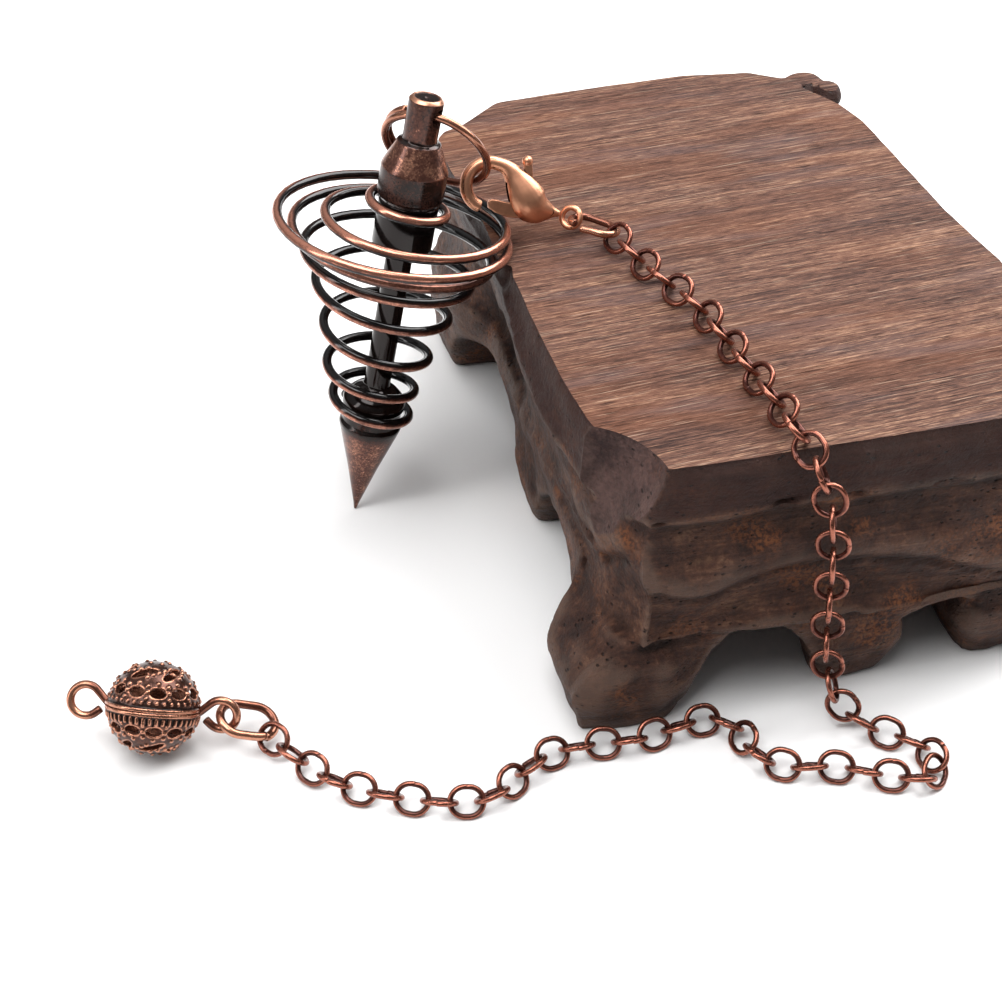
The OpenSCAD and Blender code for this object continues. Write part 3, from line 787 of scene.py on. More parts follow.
@dataclass(frozen=True)
class OldWood:
    """Dark carved hardwood: a sawn top with streaky grain, and waxed, tooled sides.

    The mesh keeps "worn", above a half on edges and below it in hollows, and "cut", the round
    hollow at the front left corner.
    """

    name: str = "carved_hardwood"
    top_height: float = 29.5
    edge_band: tuple = (24.4, 25.6)
    grain_turn: float = 4
    relief: float = 0.2
    sheen: float = 0.22
    sawn_tones: tuple = (
        (0.0, paint(34, 20, 17)), (0.25, paint(64, 40, 33)), (0.5, paint(94, 63, 51)),
        (0.75, paint(118, 83, 67)), (1.0, paint(176, 138, 110)))
    waxed_tones: tuple = (
        (0.0, paint(34, 19, 15)), (0.35, paint(58, 35, 27)), (0.7, paint(84, 55, 42)),
        (1.0, paint(122, 88, 68)))

    def sawn(self, g: Graph) -> tuple:
        """The sawn top, with the grain along X.

        Args:
            g: The material's nodes.

        Returns:
            Its colour, its tone and its relief.
        """
        along = (0, 0, self.grain_turn)
        bands = g.noise((0.03, 0.42, 0.42), 4, 0.55, 0.3, along)
        lines = g.noise((0.22, 7.0, 7.0), 3, 0.75, 0.1, along)
        fibres = g.noise((0.9, 13.0, 13.0), 2, 0.7, 0, along)
        warm = g.noise((0.035, 0.14, 0.14), 2).step(0.42, 0.66)
        grey = g.noise((0.05, 0.3, 0.3), 3).step(0.5, 0.7)
        pores = g.noise((0.3, 5.6, 5.6), 2, 0.4, 0, along).step(0.64, 0.74)
        pale = g.noise((0.2, 8.2, 8.2), 2, 0.4, 0, along).step(0.64, 0.74)
        tone = bands * 0.36 + lines * 0.68 + fibres * 0.5 - 0.02
        colour = g.colours(tone.step(0.5, 1.0), self.sawn_tones)
        colour = g.blend(warm * 0.55, colour, g.blend(0.5, colour, paint(122, 70, 38)))
        colour = g.blend(grey * 0.6, colour, g.blend(0.5, colour, paint(94, 80, 82)))
        colour = g.blend(pores * 0.5, colour, paint(44, 34, 36))
        colour = g.blend(pale * 0.45, colour, paint(200, 172, 148))
        return colour, tone, lines * 0.6 + fibres * 0.3 - pores * 0.8

    def waxed(self, g: Graph, up: Value, band: Value) -> tuple:
        """The carved and waxed sides, with painted shade on the faces that look down.

        Args:
            g: The material's nodes.
            up: How far the surface looks up.
            band: 1 on the dark band under the top's edge.

        Returns:
            Their colour, their grit and their relief.
        """
        lumps = g.noise(0.25, 4, 0.6)
        grit = g.noise(1.9, 5, 0.7)
        streaks = g.noise((0.12, 1.4, 1.4), 4, 0.65, 0.6)
        worn, cut = g.kept("worn"), g.kept("cut")
        orange = g.noise(0.16, 3).step(0.5, 0.68) * g.noise(2.6, 3, 0.7).step(0.42, 0.62)
        facet = g.blend((grit * 0.6 + lumps * 0.6).step(0.4, 0.8), paint(40, 23, 22), paint(98, 74, 70))
        pits = g.cells((1.1, 1.1, 1.8)).step(0.24, 0.1) * g.noise(0.35, 2).step(0.48, 0.6)
        colour = g.colours((lumps * 0.5 + grit * 0.35 + streaks * 0.4).step(0.42, 0.86), self.waxed_tones)
        colour = g.blend(orange * 0.6, colour, paint(146, 86, 48))
        colour = g.blend(worn.step(0.6, 1.0) * 0.45, colour, paint(112, 90, 78))
        colour = g.blend((1 - worn).step(0.5, 0.95) * 0.6, colour, paint(26, 15, 12))
        colour = g.blend(cut * 0.8, colour, facet)
        band = band * (1 - cut)
        colour = g.blend(band * 0.85, colour, g.blend(streaks, paint(22, 7, 5), paint(56, 24, 17)))
        # Painted shade: faces that look down, as under the arches, are darkened towards near-black brown
        colour = g.blend(up.step(-0.1, -0.7) * 0.6, colour, paint(20, 12, 10))
        colour = g.blend(pits * 0.8, colour, paint(18, 10, 9))
        return colour, grit, grit * 2.2 + lumps + streaks * 0.8 - pits * 2.6

    def material(self) -> bpy.types.Material:
        """Make the finish.

        Returns:
            The material.
        """
        g = Graph(self.name)
        up, height = g.facing_up(), g.axis("Z")
        top = (up.step(0.8, 0.97) * height.step(self.top_height - 0.3, self.top_height)).step(0.2, 0.8)
        side = 1 - top
        sawn, tone, sawn_relief = self.sawn(g)
        waxed, grit, waxed_relief = self.waxed(g, up, height.step(*self.edge_band) * side)
        g.bump(top * sawn_relief + side * waxed_relief, self.relief)
        return g.dress(Base_Color=g.blend(top, waxed, sawn),
                       Roughness=top * (0.72 - tone * 0.1) + side * (grit * 0.4 + 0.34),
                       Specular_IOR_Level=self.sheen)


FINISHES = {
    "pendulum": AgedMetal("antique_copper_turned", paint(26, 18, 16), paint(104, 68, 58),
                          paint(196, 142, 116), rub=1.0, start=0.04, clouding=0.6, speckle=0.6,
                          speckle_size=3.6, rough_dark=0.17, rough_bright=0.3, metal_dark=0.45,
                          relief=0.006),
    "coil": AgedMetal("antique_copper_wire", paint(14, 11, 11), paint(92, 56, 46),
                      paint(196, 134, 112), rub=1.0, start=0.02, clouding=0.5, speckle=0.35,
                      rough_dark=0.1, rough_bright=0.22, metal_dark=0.2, relief=0.002),
    "wire": AgedMetal("copper_wire", paint(34, 19, 16), paint(118, 72, 56), paint(198, 140, 114),
                      rub=0.7, start=0.16, clouding=0.4, speckle=0.16, rough_dark=0.17,
                      rough_bright=0.25, relief=0.002),
    "clasp": AgedMetal("satin_copper", paint(32, 18, 14), paint(134, 84, 62), paint(226, 162, 128),
                       rub=1.15, start=0.05, clouding=0.2, speckle=0.12, rough_dark=0.34,
                       rough_bright=0.38, metal_dark=0.8, relief=0.0),
    "chain": AgedMetal("red_copper_chain", paint(26, 15, 13), paint(86, 48, 40),
                       paint(152, 94, 77), rub=0.9, start=0.05, clouding=0.45, speckle=0.3,
                       rough_dark=0.18, rough_bright=0.28, relief=0.003),
    "bead": AgedMetal("pressed_copper", paint(28, 19, 17), paint(100, 64, 52), paint(184, 130, 106),
                      rub=1.1, start=0.04, clouding=0.45, speckle=0.4, speckle_size=4.0,
                      rough_dark=0.22, rough_bright=0.26, relief=0.006),
}


# Sub-assemblies


@dataclass
class Pendulum:
    """The turned pendulum: cone, collar, rod, sleeve, head, shoulder and drilled neck."""

    length: float = 47
    cone_length: float = 11.1
    cone_width: float = 6.5
    rod_width: float = 2.7
    sleeve_width: float = 6
    head_width: float = 6.6
    neck_width: float = 3.4
    hole_width: float = 1.9
    hole_height: float = 45.3
    hole_turn: float = -25
    drill_length: float = 8
    steps: int = 112
    # From each height upwards, how rubbed the turned faces are
    rubbed: tuple = ((12.6, 0.0), (36.4, 0.2), (39.8, 0.52), (42.7, 0.27))

    def profile(self) -> list:
        """The turned corners, from the point to the dimple in the neck's end.

        Returns:
            Radius, height and rounding of each corner.
        """
        cone, rod, sleeve = self.cone_width / 2, self.rod_width / 2, self.sleeve_width / 2
        head, neck, top = self.head_width / 2, self.neck_width / 2, self.length
        return [
            (0, 0, 0), (0.14, 0.02, 0.05), (0.3, 0.8, 0), (cone * 0.5, 5.6, 0),
            (cone, self.cone_length - 0.25, 0.1), (cone, self.cone_length, 0.1),
            (cone - 0.24, self.cone_length + 0.32, 0.08), (cone - 0.24, 12.9, 0.1),
            (cone, 13.25, 0.12), (cone, 13.95, 0.2), (cone - 0.35, 14.45, 0.15),
            (rod + 0.9, 15.1, 0.3), (rod, 15.6, 0.2), (rod, 22, 0), (rod, 31.4, 0),
            (sleeve - 0.25, 31.42, 0.12), (sleeve, 31.75, 0.14), (sleeve, 36.35, 0),
            (head - 0.4, 36.42, 0.08), (head - 0.03, 36.95, 0.2), (head, 38, 0),
            (head, 39.85, 0.16), (neck + 0.42, 42.5, 0.1), (neck + 0.02, 42.66, 0.1),
            (neck - 0.02, 42.9, 0.1), (neck, 44, 0), (neck, top - 0.3, 0.08),
            (neck - 0.3, top, 0.08), (neck - 0.46, top, 0.05), (neck - 0.54, top - 0.1, 0.05),
            (0.22, top - 0.1, 0.02), (0.12, top - 0.18, 0.02), (0, top - 0.18, 0)]

    def worn(self, rows: np.ndarray) -> np.ndarray:
        """How rubbed it is: its edges are bright, the groove and the end's dish dark.

        Args:
            rows: The corners, round the pendulum's axis.

        Returns:
            One value a corner, from 0 to 1.
        """
        r, z = np.hypot(rows[:, 0], rows[:, 1]), rows[:, 2]
        rim, shoulder, collar, groove = self.length - 0.15, 39.9, 13.9, 42.66
        edge = ramp(np.abs(z - rim), 0.3, 0.05) * ramp(r, 1.1, 1.3)
        edge = np.maximum(edge, 0.45 * ramp(np.abs(z - shoulder), 0.35, 0.1))
        edge = np.maximum(edge, 0.3 * ramp(np.abs(z - collar), 0.3, 0.1))
        body = 0.38 * ramp(z, 10.9, 9.8) + 0.08
        for height, share in self.rubbed:
            body = np.where(z > height, share, body)
        body *= 1 - ramp(z, self.length - 0.14, self.length - 0.08) * ramp(r, 1.24, 1.14)
        body *= 1 - 0.8 * ramp(np.abs(z - groove), 0.28, 0.1)
        return np.maximum(edge, body)

    def build(self) -> None:
        """Turn it, drill its neck and dress it."""
        rows = []
        profile = rounded(self.profile())
        for (r0, z0), (r1, z1) in zip(profile, profile[1:]):
            parts = max(1, round(math.dist((r0, z0), (r1, z1)) / 0.6))
            rows += [(r0 + (r1 - r0) * k / parts, z0 + (z1 - z0) * k / parts) for k in range(parts)]
        obj = turned("pendulum_turned", rows + [profile[-1]], self.steps)
        clear()
        bpy.ops.mesh.primitive_cylinder_add(vertices=48, radius=self.hole_width / 2,
                                            depth=self.drill_length)
        drill = bpy.context.object
        drill.data.transform(move(0, 0, self.hole_height) @ turn(z=self.hole_turn) @ turn(y=90))
        cut_away(obj, drill)
        rows = places(obj)
        mark(obj, "worn", self.worn(rows))
        mark(obj, "polish", ramp(rows[:, 2], 12.2, 12.8) * ramp(rows[:, 2], 36.6, 36.2))
        obj.data.transform(LAYOUT.pendulum())
        shade(obj, 40)
        finish_piece(obj, FINISHES["pendulum"].material(), Slot.METAL, Body.LAYOUT, "pendulum")


@dataclass
class Coil:
    """The wire that is wound in a loose spiral round the pendulum."""

    wire_width: float = 1
    width: float = 23.8
    shift: float = 0.6
    flat: float = 0.05
    least: float = 3.81
    low: float = 13.2
    high: float = 36.4
    steps: int = 44
    # At each turn, the share of the radius and of the height
    turns: tuple = (
        (-0.75, 0.315, 0.985), (-0.35, 0.315, 0.985), (0, 0.32, 0.96), (0.25, 0.4, 0.935),
        (0.5, 0.6, 0.92), (0.75, 0.76, 0.915), (1, 0.89, 0.92), (1.5, 1, 0.87), (2, 0.925, 0.865),
        (3, 0.815, 0.775), (4, 0.68, 0.665), (5, 0.547, 0.485), (6, 0.445, 0.28),
        (7, 0.38, 0.105), (8, 0.31, -0.03), (8.4, 0.31, -0.035))

    def middle(self, t: float) -> tuple:
        """The wire's middle line, as a smooth curve through the given turns.

        Args:
            t: How many turns from the first full one.

        Returns:
            Its share of the radius and of the height.
        """
        rows = [np.array(r) for r in self.turns]
        i = max(k for k in range(len(rows) - 1) if rows[k][0] <= t)
        a, b, c, d = (rows[min(max(i + k, 0), len(rows) - 1)] for k in (-1, 0, 1, 2))
        step = c[0] - b[0]
        f = (t - b[0]) / step
        slope_b, slope_c = (c - a) / (c[0] - a[0]), (d - b) / (d[0] - b[0])
        m = ((2 * f**3 - 3 * f**2 + 1) * b + (f**3 - 2 * f**2 + f) * step * slope_b
             + (3 * f**2 - 2 * f**3) * c + (f**3 - f**2) * step * slope_c)
        return m[1], m[2]

    def point(self, t: float) -> tuple:
        """The wire's middle, round the pendulum's axis.

        Args:
            t: How many turns from the first full one.

        Returns:
            The point, in millimetres.
        """
        share, height = self.middle(t)
        r = max(share * self.width / 2, self.least)
        free = min(1, max(0, (r - self.least) / self.shift))
        return (r * math.cos(math.tau * t) - self.shift * free,
                r * math.sin(math.tau * t) * (1 - self.flat * free),
                self.low + height * (self.high - self.low))

    def build(self) -> None:
        """Wind it and dress it."""
        first, last = self.turns[0][0], self.turns[-1][0]
        count = round((last - first) * self.steps)
        line = [self.point(first + (last - first) * min(i / count, 0.9999)) for i in range(count + 1)]
        obj = wire("coil_wound", line, self.wire_width, 16)
        rows, n = places(obj), normals(obj)
        out = rows * (1, 1, 0)
        out /= np.maximum(np.linalg.norm(out, axis=1), 0.1)[:, None]
        outward, upward = (n * out).sum(1), n[:, 2]
        high = ramp(rows[:, 2], 29, 34)
        top_side = ramp(outward * 0.7 + upward * 0.7, 0.25, 0.95)
        low_side = ramp(outward - upward * 0.5, 0.4, 1.05)
        mark(obj, "worn", top_side * high * 0.8 + low_side * (1 - high) * 0.62)
        obj.data.transform(LAYOUT.pendulum())
        finish_piece(obj, FINISHES["coil"].material(), Slot.METAL, Body.LAYOUT, "coil")


@dataclass
class JumpRing:
    """The big split ring in the pendulum's neck, its ends side by side."""

    width: float = 10.6
    wire_width: float = 0.8
    tilt: float = 8
    swing: float = 36
    lift: float = 0.08
    split: float = 290
    overlap: float = 92
    steps: int = 110

    def place(self) -> Matrix:
        """Place of the ring, its middle at the origin and its hole along Y."""
        p = Pendulum()
        return (LAYOUT.pendulum() @ move(0, 0, p.hole_height) @ turn(z=p.hole_turn)
                @ turn(y=-self.tilt) @ turn(x=self.swing)
                @ move(0, 0, self.lift - self.width / 2))

    def build(self) -> None:
        """Bend it and dress it."""
        line, r = [], self.width / 2
        for i in range(self.steps + 1):
            t = i / self.steps
            a = math.radians(self.split + (t - 0.5) * self.overlap + t * 360)
            share = self.overlap / (360 + self.overlap)
            late = ramp(np.array(t), 1 - 1.6 * share, 1 - 0.9 * share)
            early = ramp(np.array(t), 1.6 * share, 0.9 * share)
            aside = 0.5 * self.wire_width * (late - early)
            line.append((r * math.sin(a), float(aside), r * math.cos(a)))
        obj = wire("jump_ring_split", line, self.wire_width, 16)
        rows, n = places(obj), normals(obj)
        out = rows / np.linalg.norm(rows, axis=1)[:, None]
        mark(obj, "worn", 0.35 + 0.4 * ramp((n * out).sum(1), -0.4, 0.9))
        obj.data.transform(self.place())
        finish_piece(obj, FINISHES["wire"].material(), Slot.WIRE, Body.LAYOUT, "jump_ring")


@dataclass
class Clasp:
    """The cast clasp and the lever that opens its hook."""

    tail: tuple = (6.715, 12.131, 31.483)
    turn: float = 169
    rise: float = 19.65
    roll: float = -63
    belly: tuple = (4.3, 0)
    hook: tuple = (8.95, -0.8)
    hook_radius: float = 2.25
    hook_end: float = 82
    hook_steps: int = 33
    slot: float = 1
    flat: float = 0.8
    voxel: float = 0.07
    tail_turn: float = 36
    # Middle line behind the hook, with the wire's thickness at each point
    back: tuple = ((7.95, -2.98, 0.72), (7.0, -2.55, 1.0), (6.05, -1.75, 1.5), (5.2, -0.95, 1.85),
                   (4.4, -0.25, 1.92), (3.5, 0.05, 1.6), (2.6, 0.05, 1.02), (1.8, 0, 0.5),
                   (1.3, 0, 0.34))
    arm_slot: tuple = ((-1.1, 0), (-0.5, -1), (1.9, -1.6), (4.9, -1.5), (4.9, 1.75), (1.2, 1.75),
                       (-0.5, 1))
    stem_slot: tuple = ((-0.6, 0), (-1.5, -4.4), (2.5, -4.1), (1, 0))
    blade: tuple = ((-0.3, -0.6), (1.0, -0.1), (2.4, 0.28), (3.5, 0.34), (4.08, 0.5), (4.24, 0.9),
                    (4.1, 1.3), (3.3, 1.58), (2.0, 1.68), (0.8, 1.45), (-0.4, 0.8))

    def place(self) -> Matrix:
        """Place of the clasp, the middle of its tail ring at the origin."""
        return move(*self.tail) @ turn(z=self.turn) @ turn(y=-self.rise) @ turn(x=self.roll)

    def solid(self) -> bpy.types.Object:
        """Cast the body with its hook and tail ring.

        Returns:
            The body, before the slots are cut.
        """
        rows = []
        for i in range(self.hook_steps + 1):
            a = math.radians(self.hook_end - i / self.hook_steps * (self.hook_end + 90))
            rows.append((self.hook[0] + self.hook_radius * math.cos(a),
                         self.hook[1] + self.hook_radius * math.sin(a), 0.62 + 0.04 * i / self.hook_steps))
        line = smooth_line(rows[::3] + list(self.back), 6)
        body = wire("clasp_cast", [(r[0], r[1], 0) for r in line], 2, 24, [r[2] for r in line])
        at = places(body)
        at[:, 2] *= 1 - (1 - self.flat) * ramp(at[:, 0], 8.2, 6.0) * ramp(at[:, 0], 1.4, 2.2)
        put_places(body, at)
        clear()
        bpy.ops.mesh.primitive_torus_add(major_radius=0.975, minor_radius=0.31,
                                         major_segments=48, minor_segments=16)
        tail = bpy.context.object
        tail.data.transform(turn(y=self.tail_turn))
        obj = join("clasp_cast", [body, tail])
        remesh(obj, self.voxel, 10)
        return obj

    def cut(self, obj: bpy.types.Object, outline: tuple) -> None:
        """Cut one slot for the lever into the body.

        Args:
            obj: The body.
            outline: The slot's corners, seen from the belly's middle.
        """
        knife = prism("slot", [(x + self.belly[0], y + self.belly[1]) for x, y in outline],
                      -self.slot / 2, self.slot / 2)
        cut_away(obj, knife)

    def build(self) -> None:
        """Cast and dress both parts."""
        obj = self.solid()
        out = standing_out(obj, 12, 3)
        worn = 0.62 + ramp(out, 0.0, 0.06) * 0.38 - ramp(-out, 0.01, 0.06) * 0.55
        mark(obj, "worn", worn)
        self.cut(obj, self.arm_slot)
        self.cut(obj, self.stem_slot)
        rows = places(obj)
        keep = np.empty(len(rows), np.float32)
        obj.data.attributes["worn"].data.foreach_get("value", keep)
        walls = np.abs(np.abs(rows[:, 2]) - self.slot / 2) < 0.01
        walls |= (np.abs(rows[:, 2]) < self.slot / 2) & (keep < 0.01)
        keep = np.where(walls, 0, keep).astype(np.float32)
        obj.data.attributes["worn"].data.foreach_set("value", keep)
        obj.data.transform(self.place())
        shade(obj, 50)
        finish_piece(obj, FINISHES["clasp"].material(), Slot.CLASP, Body.LAYOUT, "clasp_body")
        lever = node_copy("clasp_lever_cast", "clasp_lever")
        lever.data.transform(self.place().inverted())
        blade = prism("blade", [(x + self.belly[0], y + self.belly[1]) for x, y in self.blade], -0.4, 0.4)
        lever = join("clasp_lever_cast", [lever, blade])
        remesh(lever, 0.06, 6)
        out = standing_out(lever, 10, 3)
        mark(lever, "worn", 0.6 + ramp(out, 0.0, 0.05) * 0.4)
        lever.data.transform(self.place())
        shade(lever)
        finish_piece(lever, FINISHES["clasp"].material(), Slot.CLASP, Body.LEVER, "clasp_lever")


@dataclass
class OvalRing:
    """An oval ring of round wire, cut through on one side."""

    length: float
    width: float
    wire_width: float
    cut: float
    gap: float
    aside: float = 0.0
    steps: int = 44
    sides: int = 12

    def whole(self) -> float:
        """Length of the middle line all round."""
        return 2 * (self.length - self.width) + math.tau * (self.width / 2)

    def at(self, s: float) -> tuple:
        """A point on the middle line.

        Args:
            s: Its length along the oval, from the middle of the +X end.

        Returns:
            Its place in the ring's plane.
        """
        straight, r = self.length - self.width, self.width / 2
        arc = math.pi * r / 2
        s %= self.whole()
        if s < arc:
            return (straight / 2 + r * math.cos(s / r), r * math.sin(s / r))
        s -= arc
        if s < straight:
            return (straight / 2 - s, r)
        s -= straight
        if s < 2 * arc:
            a = math.pi / 2 + s / r
            return (-straight / 2 + r * math.cos(a), r * math.sin(a))
        s -= 2 * arc
        if s < straight:
            return (s - straight / 2, -r)
        a = -math.pi / 2 + (s - straight) / r
        return (straight / 2 + r * math.cos(a), r * math.sin(a))

    def line(self) -> list:
        """Middle line round the oval, long way along X.

        Returns:
            Its points, from one cut end to the other.
        """
        out, whole = [], self.whole()
        for i in range(self.steps + 1):
            t = i / self.steps
            x, y = self.at(self.cut * whole + self.gap / 2 + t * (whole - self.gap))
            lift = float(ramp(np.array(t), 0.9, 1.0) - ramp(np.array(t), 0.1, 0.0))
            out.append((x, y, lift * self.aside))
        return out

    def shape(self, name: str) -> bpy.types.Object:
        """Bend it, with its rubbed side marked.

        Args:
            name: Name of the object.

        Returns:
            The ring, round the origin.
        """
        obj = wire(name, self.line(), self.wire_width, self.sides)
        rows, n = places(obj), normals(obj)
        mid = rows * (1, 1, 0)
        mid /= np.maximum(np.linalg.norm(mid, axis=1), 0.1)[:, None]
        mark(obj, "worn", 0.42 + 0.4 * ramp((n * mid).sum(1), -0.7, 0.9))
        return obj


def islands(node: str) -> list:
    """Find the separate solids of a CAD node.

    Args:
        node: Name of the CAD node.

    Returns:
        For each solid the rows of its corners, in millimetres.
    """
    obj = node_copy("islands", node)
    bm = bmesh.new()
    bm.from_mesh(obj.data)
    seen, out = set(), []
    for start in bm.verts:
        if start in seen:
            continue
        seen.add(start)
        front, found = [start], []
        while front:
            v = front.pop()
            found.append(tuple(v.co))
            for e in v.link_edges:
                other = e.other_vert(v)
                if other not in seen:
                    seen.add(other)
                    front.append(other)
        out.append(np.array(found))
    bm.free()
    bpy.data.objects.remove(obj)
    return out


def ring_frame(rows: np.ndarray) -> Matrix:
    """Find how an oval ring lies from its corners.

    Args:
        rows: The ring's corners.

    Returns:
        Its place, with its long way along X and its thin way along Z.
    """
    thin = np.linalg.svd(rows - rows.mean(0), full_matrices=False)[2][2]
    helper = np.array((0.0, 0.0, 1.0)) if abs(thin[2]) < 0.9 else np.array((1.0, 0.0, 0.0))
    u = np.cross(helper, thin)
    u /= np.linalg.norm(u)
    v = np.cross(thin, u)
    best = max((np.ptp((rows @ (u * math.cos(a) + v * math.sin(a)))), a)
               for a in np.radians(np.arange(0, 180, 1.0)))
    x = u * math.cos(best[1]) + v * math.sin(best[1])
    y = np.cross(thin, x)
    spans = [(rows @ axis).max() + (rows @ axis).min() for axis in (x, y, thin)]
    middle = sum(axis * s / 2 for axis, s in zip((x, y, thin), spans))
    out = Matrix.Identity(4)
    for i, axis in enumerate((x, y, thin)):
        for k in range(3):
            out[k][i] = axis[k]
    out.translation = Vector(middle)
    return out


@dataclass
class OvalRings:
    """The oval rings at the clasp and at the bead."""

    clasp_side: OvalRing = field(default_factory=lambda: OvalRing(4.8, 3, 0.75, 0.665, 0.9, 0.1, 56, 16))
    clasp_start: tuple = (6.855, 12.004, 31.473)
    clasp_turns: tuple = (-14, 3, -42.4)
    bead_side: OvalRing = field(default_factory=lambda: OvalRing(5.4, 3.6, 0.85, 0.86, 0.16, 0.12, 60, 16))
    bead_start: tuple = (-34.957, -20.649, 3.742)
    bead_turns: tuple = (5.5, 24.3, -1)

    def build(self) -> None:
        """Bend and dress both rings."""
        for ring, start, (x, y, z), name, node in (
                (self.clasp_side, self.clasp_start, self.clasp_turns, "clasp_ring_bent", "clasp_link"),
                (self.bead_side, self.bead_start, self.bead_turns, "end_ring_bent", "end_ring")):
            obj = ring.shape(name)
            obj.data.transform(move(*start) @ turn(x, y, z) @ move(ring.length / 2, 0, 0))
            obj.data.update()
            finish_piece(obj, FINISHES["wire"].material(), Slot.WIRE, Body.LAYOUT, node)


@dataclass
class Chain:
    """The chain of round open links."""

    link: OvalRing = field(default_factory=lambda: OvalRing(3.08, 2.7, 0.53, 0.25, 0.07, 0.03, 34, 12))

    def build(self) -> None:
        """Copy one link to each place, and dress the two lengths of chain."""
        model = self.link.shape("link")
        dice = random.Random(7)
        for name, node in (("chain_over_the_top", "chain_top"), ("chain_on_the_table", "chain_floor")):
            links = []
            for rows in islands(node):
                mesh = model.data.copy()
                flip = turn(x=180 * dice.randint(0, 1), z=180 * dice.randint(0, 1))
                mesh.transform(ring_frame(rows) @ flip)
                links.append(new_object("link", mesh))
            obj = join(name, links)
            finish_piece(obj, FINISHES["chain"].material(), Slot.CHAIN, Body.LAYOUT, node)
        bpy.data.objects.remove(model)


@dataclass
class Bead:
    """The pierced bead, pressed in two halves, with its rows of small balls."""

    radius: float = 4.3
    voxel: float = 0.085
    ridges: int = 44
    slant: float = 30
    drop: tuple = (1.5, 1.0)
    slit: tuple = (2.6, 0.85)
    punch_depth: float = 1.4

    def ball(self, azimuth: float, latitude: float, size: float) -> tuple:
        """A small ball on the bead.

        Args:
            azimuth: Degrees round the wire.
            latitude: Degrees up from the seam.
            size: Its radius.

        Returns:
            Its place and its radius.
        """
        a, b = math.radians(azimuth), math.radians(latitude)
        r = self.radius - size * 0.15
        flat = r * math.cos(a) * math.cos(b), r * math.sin(a) * math.cos(b)
        return (Vector((*flat, r * math.sin(b))), size)

    def balls(self) -> list:
        """All the small balls of one half.

        Returns:
            Place and radius of each.
        """
        out = []
        for i in range(12):
            out.append(self.ball(30 * i, 17, 0.2))
            out.append(self.ball(30 * i, 25, 0.22))
            out.append(self.ball(30 * i, 33, 0.24))
            out.append(self.ball(30 * i + 15, 37, 0.22))
        for i in range(6):
            for k in (-2, -1, 0, 1, 2):
                east = k * 0.62 * math.cos(math.radians(self.slant))
                north = k * 0.62 * math.sin(math.radians(self.slant))
                lat = 54 + math.degrees(north / self.radius)
                lon = 15 + 60 * i + 30 + math.degrees(east / self.radius / math.cos(math.radians(lat)))
                out.append(self.ball(lon, lat, 0.24))
            out.append(self.ball(60 * i, 76, 0.24))
        return out

    def open(self, shell: bpy.types.Object, place: Matrix) -> None:
        """Punch the drops and the slits of one half as wide as they look in the photograph.

        Args:
            shell: The half's mesh.
            place: Where the half is.
        """
        cutters = []
        holes = [(30 * i + 15, 25, self.drop, 0) for i in range(12)]
        holes += [(60 * i + 15, 54, self.slit, self.slant) for i in range(6)]
        for azimuth, latitude, (long, wide), slant in holes:
            at = place @ turn(z=azimuth) @ turn(y=-latitude) @ move(self.radius, 0, 0)
            egg = turn(x=slant) @ Matrix.Diagonal((self.punch_depth, long / 2, wide / 2, 1))
            cutters.append(sphere(3, 1, at @ egg))
        knife = join("holes", cutters)
        cut_away(shell, knife)

    def half(self, name: str, node: str, flip: Matrix, ridged: bool) -> None:
        """Press one half.

        Args:
            name: Name of the piece.
            node: CAD node that it replaces.
            flip: Turn of the half on the bead.
            ridged: Whether the band at its seam has upright ridges.
        """
        place = LAYOUT.ball() @ flip
        shell = node_copy(name, node)
        self.open(shell, place)
        parts = [shell]
        balls = self.balls()
        if not ridged:
            balls += [self.ball(360 / 38 * i, 12, 0.19) for i in range(38)]
        parts += [sphere(2, size, place @ Matrix.Translation(at)) for at, size in balls]
        obj = join(name, parts)
        remesh(obj, self.voxel, 1)
        obj.data.transform(place.inverted())
        rows = places(obj)
        r = np.linalg.norm(rows, axis=1)
        lat = np.degrees(np.arcsin(np.clip(rows[:, 2] / r, -1, 1)))
        lon = np.arctan2(rows[:, 1], rows[:, 0])
        outside = ramp(r, self.radius - 0.25, self.radius - 0.1)
        if ridged:
            band = ramp(lat, 5.5, 7) * ramp(lat, 16.5, 14)
            wave = np.abs(np.cos(lon * self.ridges / 2)) ** 1.5 * 0.2 - 0.06
            rows *= (1 + outside * band * wave / self.radius)[:, None]
            put_places(obj, rows)
        out = standing_out(obj, 8, 2)
        worn = (0.28 + ramp(out, 0.0, 0.05) * 0.7 - ramp(-out, 0.005, 0.05) * 0.6) * outside
        worn += 0.5 * (1 - outside)
        mark(obj, "worn", worn)
        obj.data.transform(place)
        shade(obj)
        finish_piece(obj, FINISHES["bead"].material(), Slot.BEAD, Body.LAYOUT, node)

    def build(self) -> None:
        """Press and dress both halves."""
        self.half("bead_pressed_upper", "bead_upper", turn(), False)
        self.half("bead_pressed_lower", "bead_lower", turn(x=180), True)


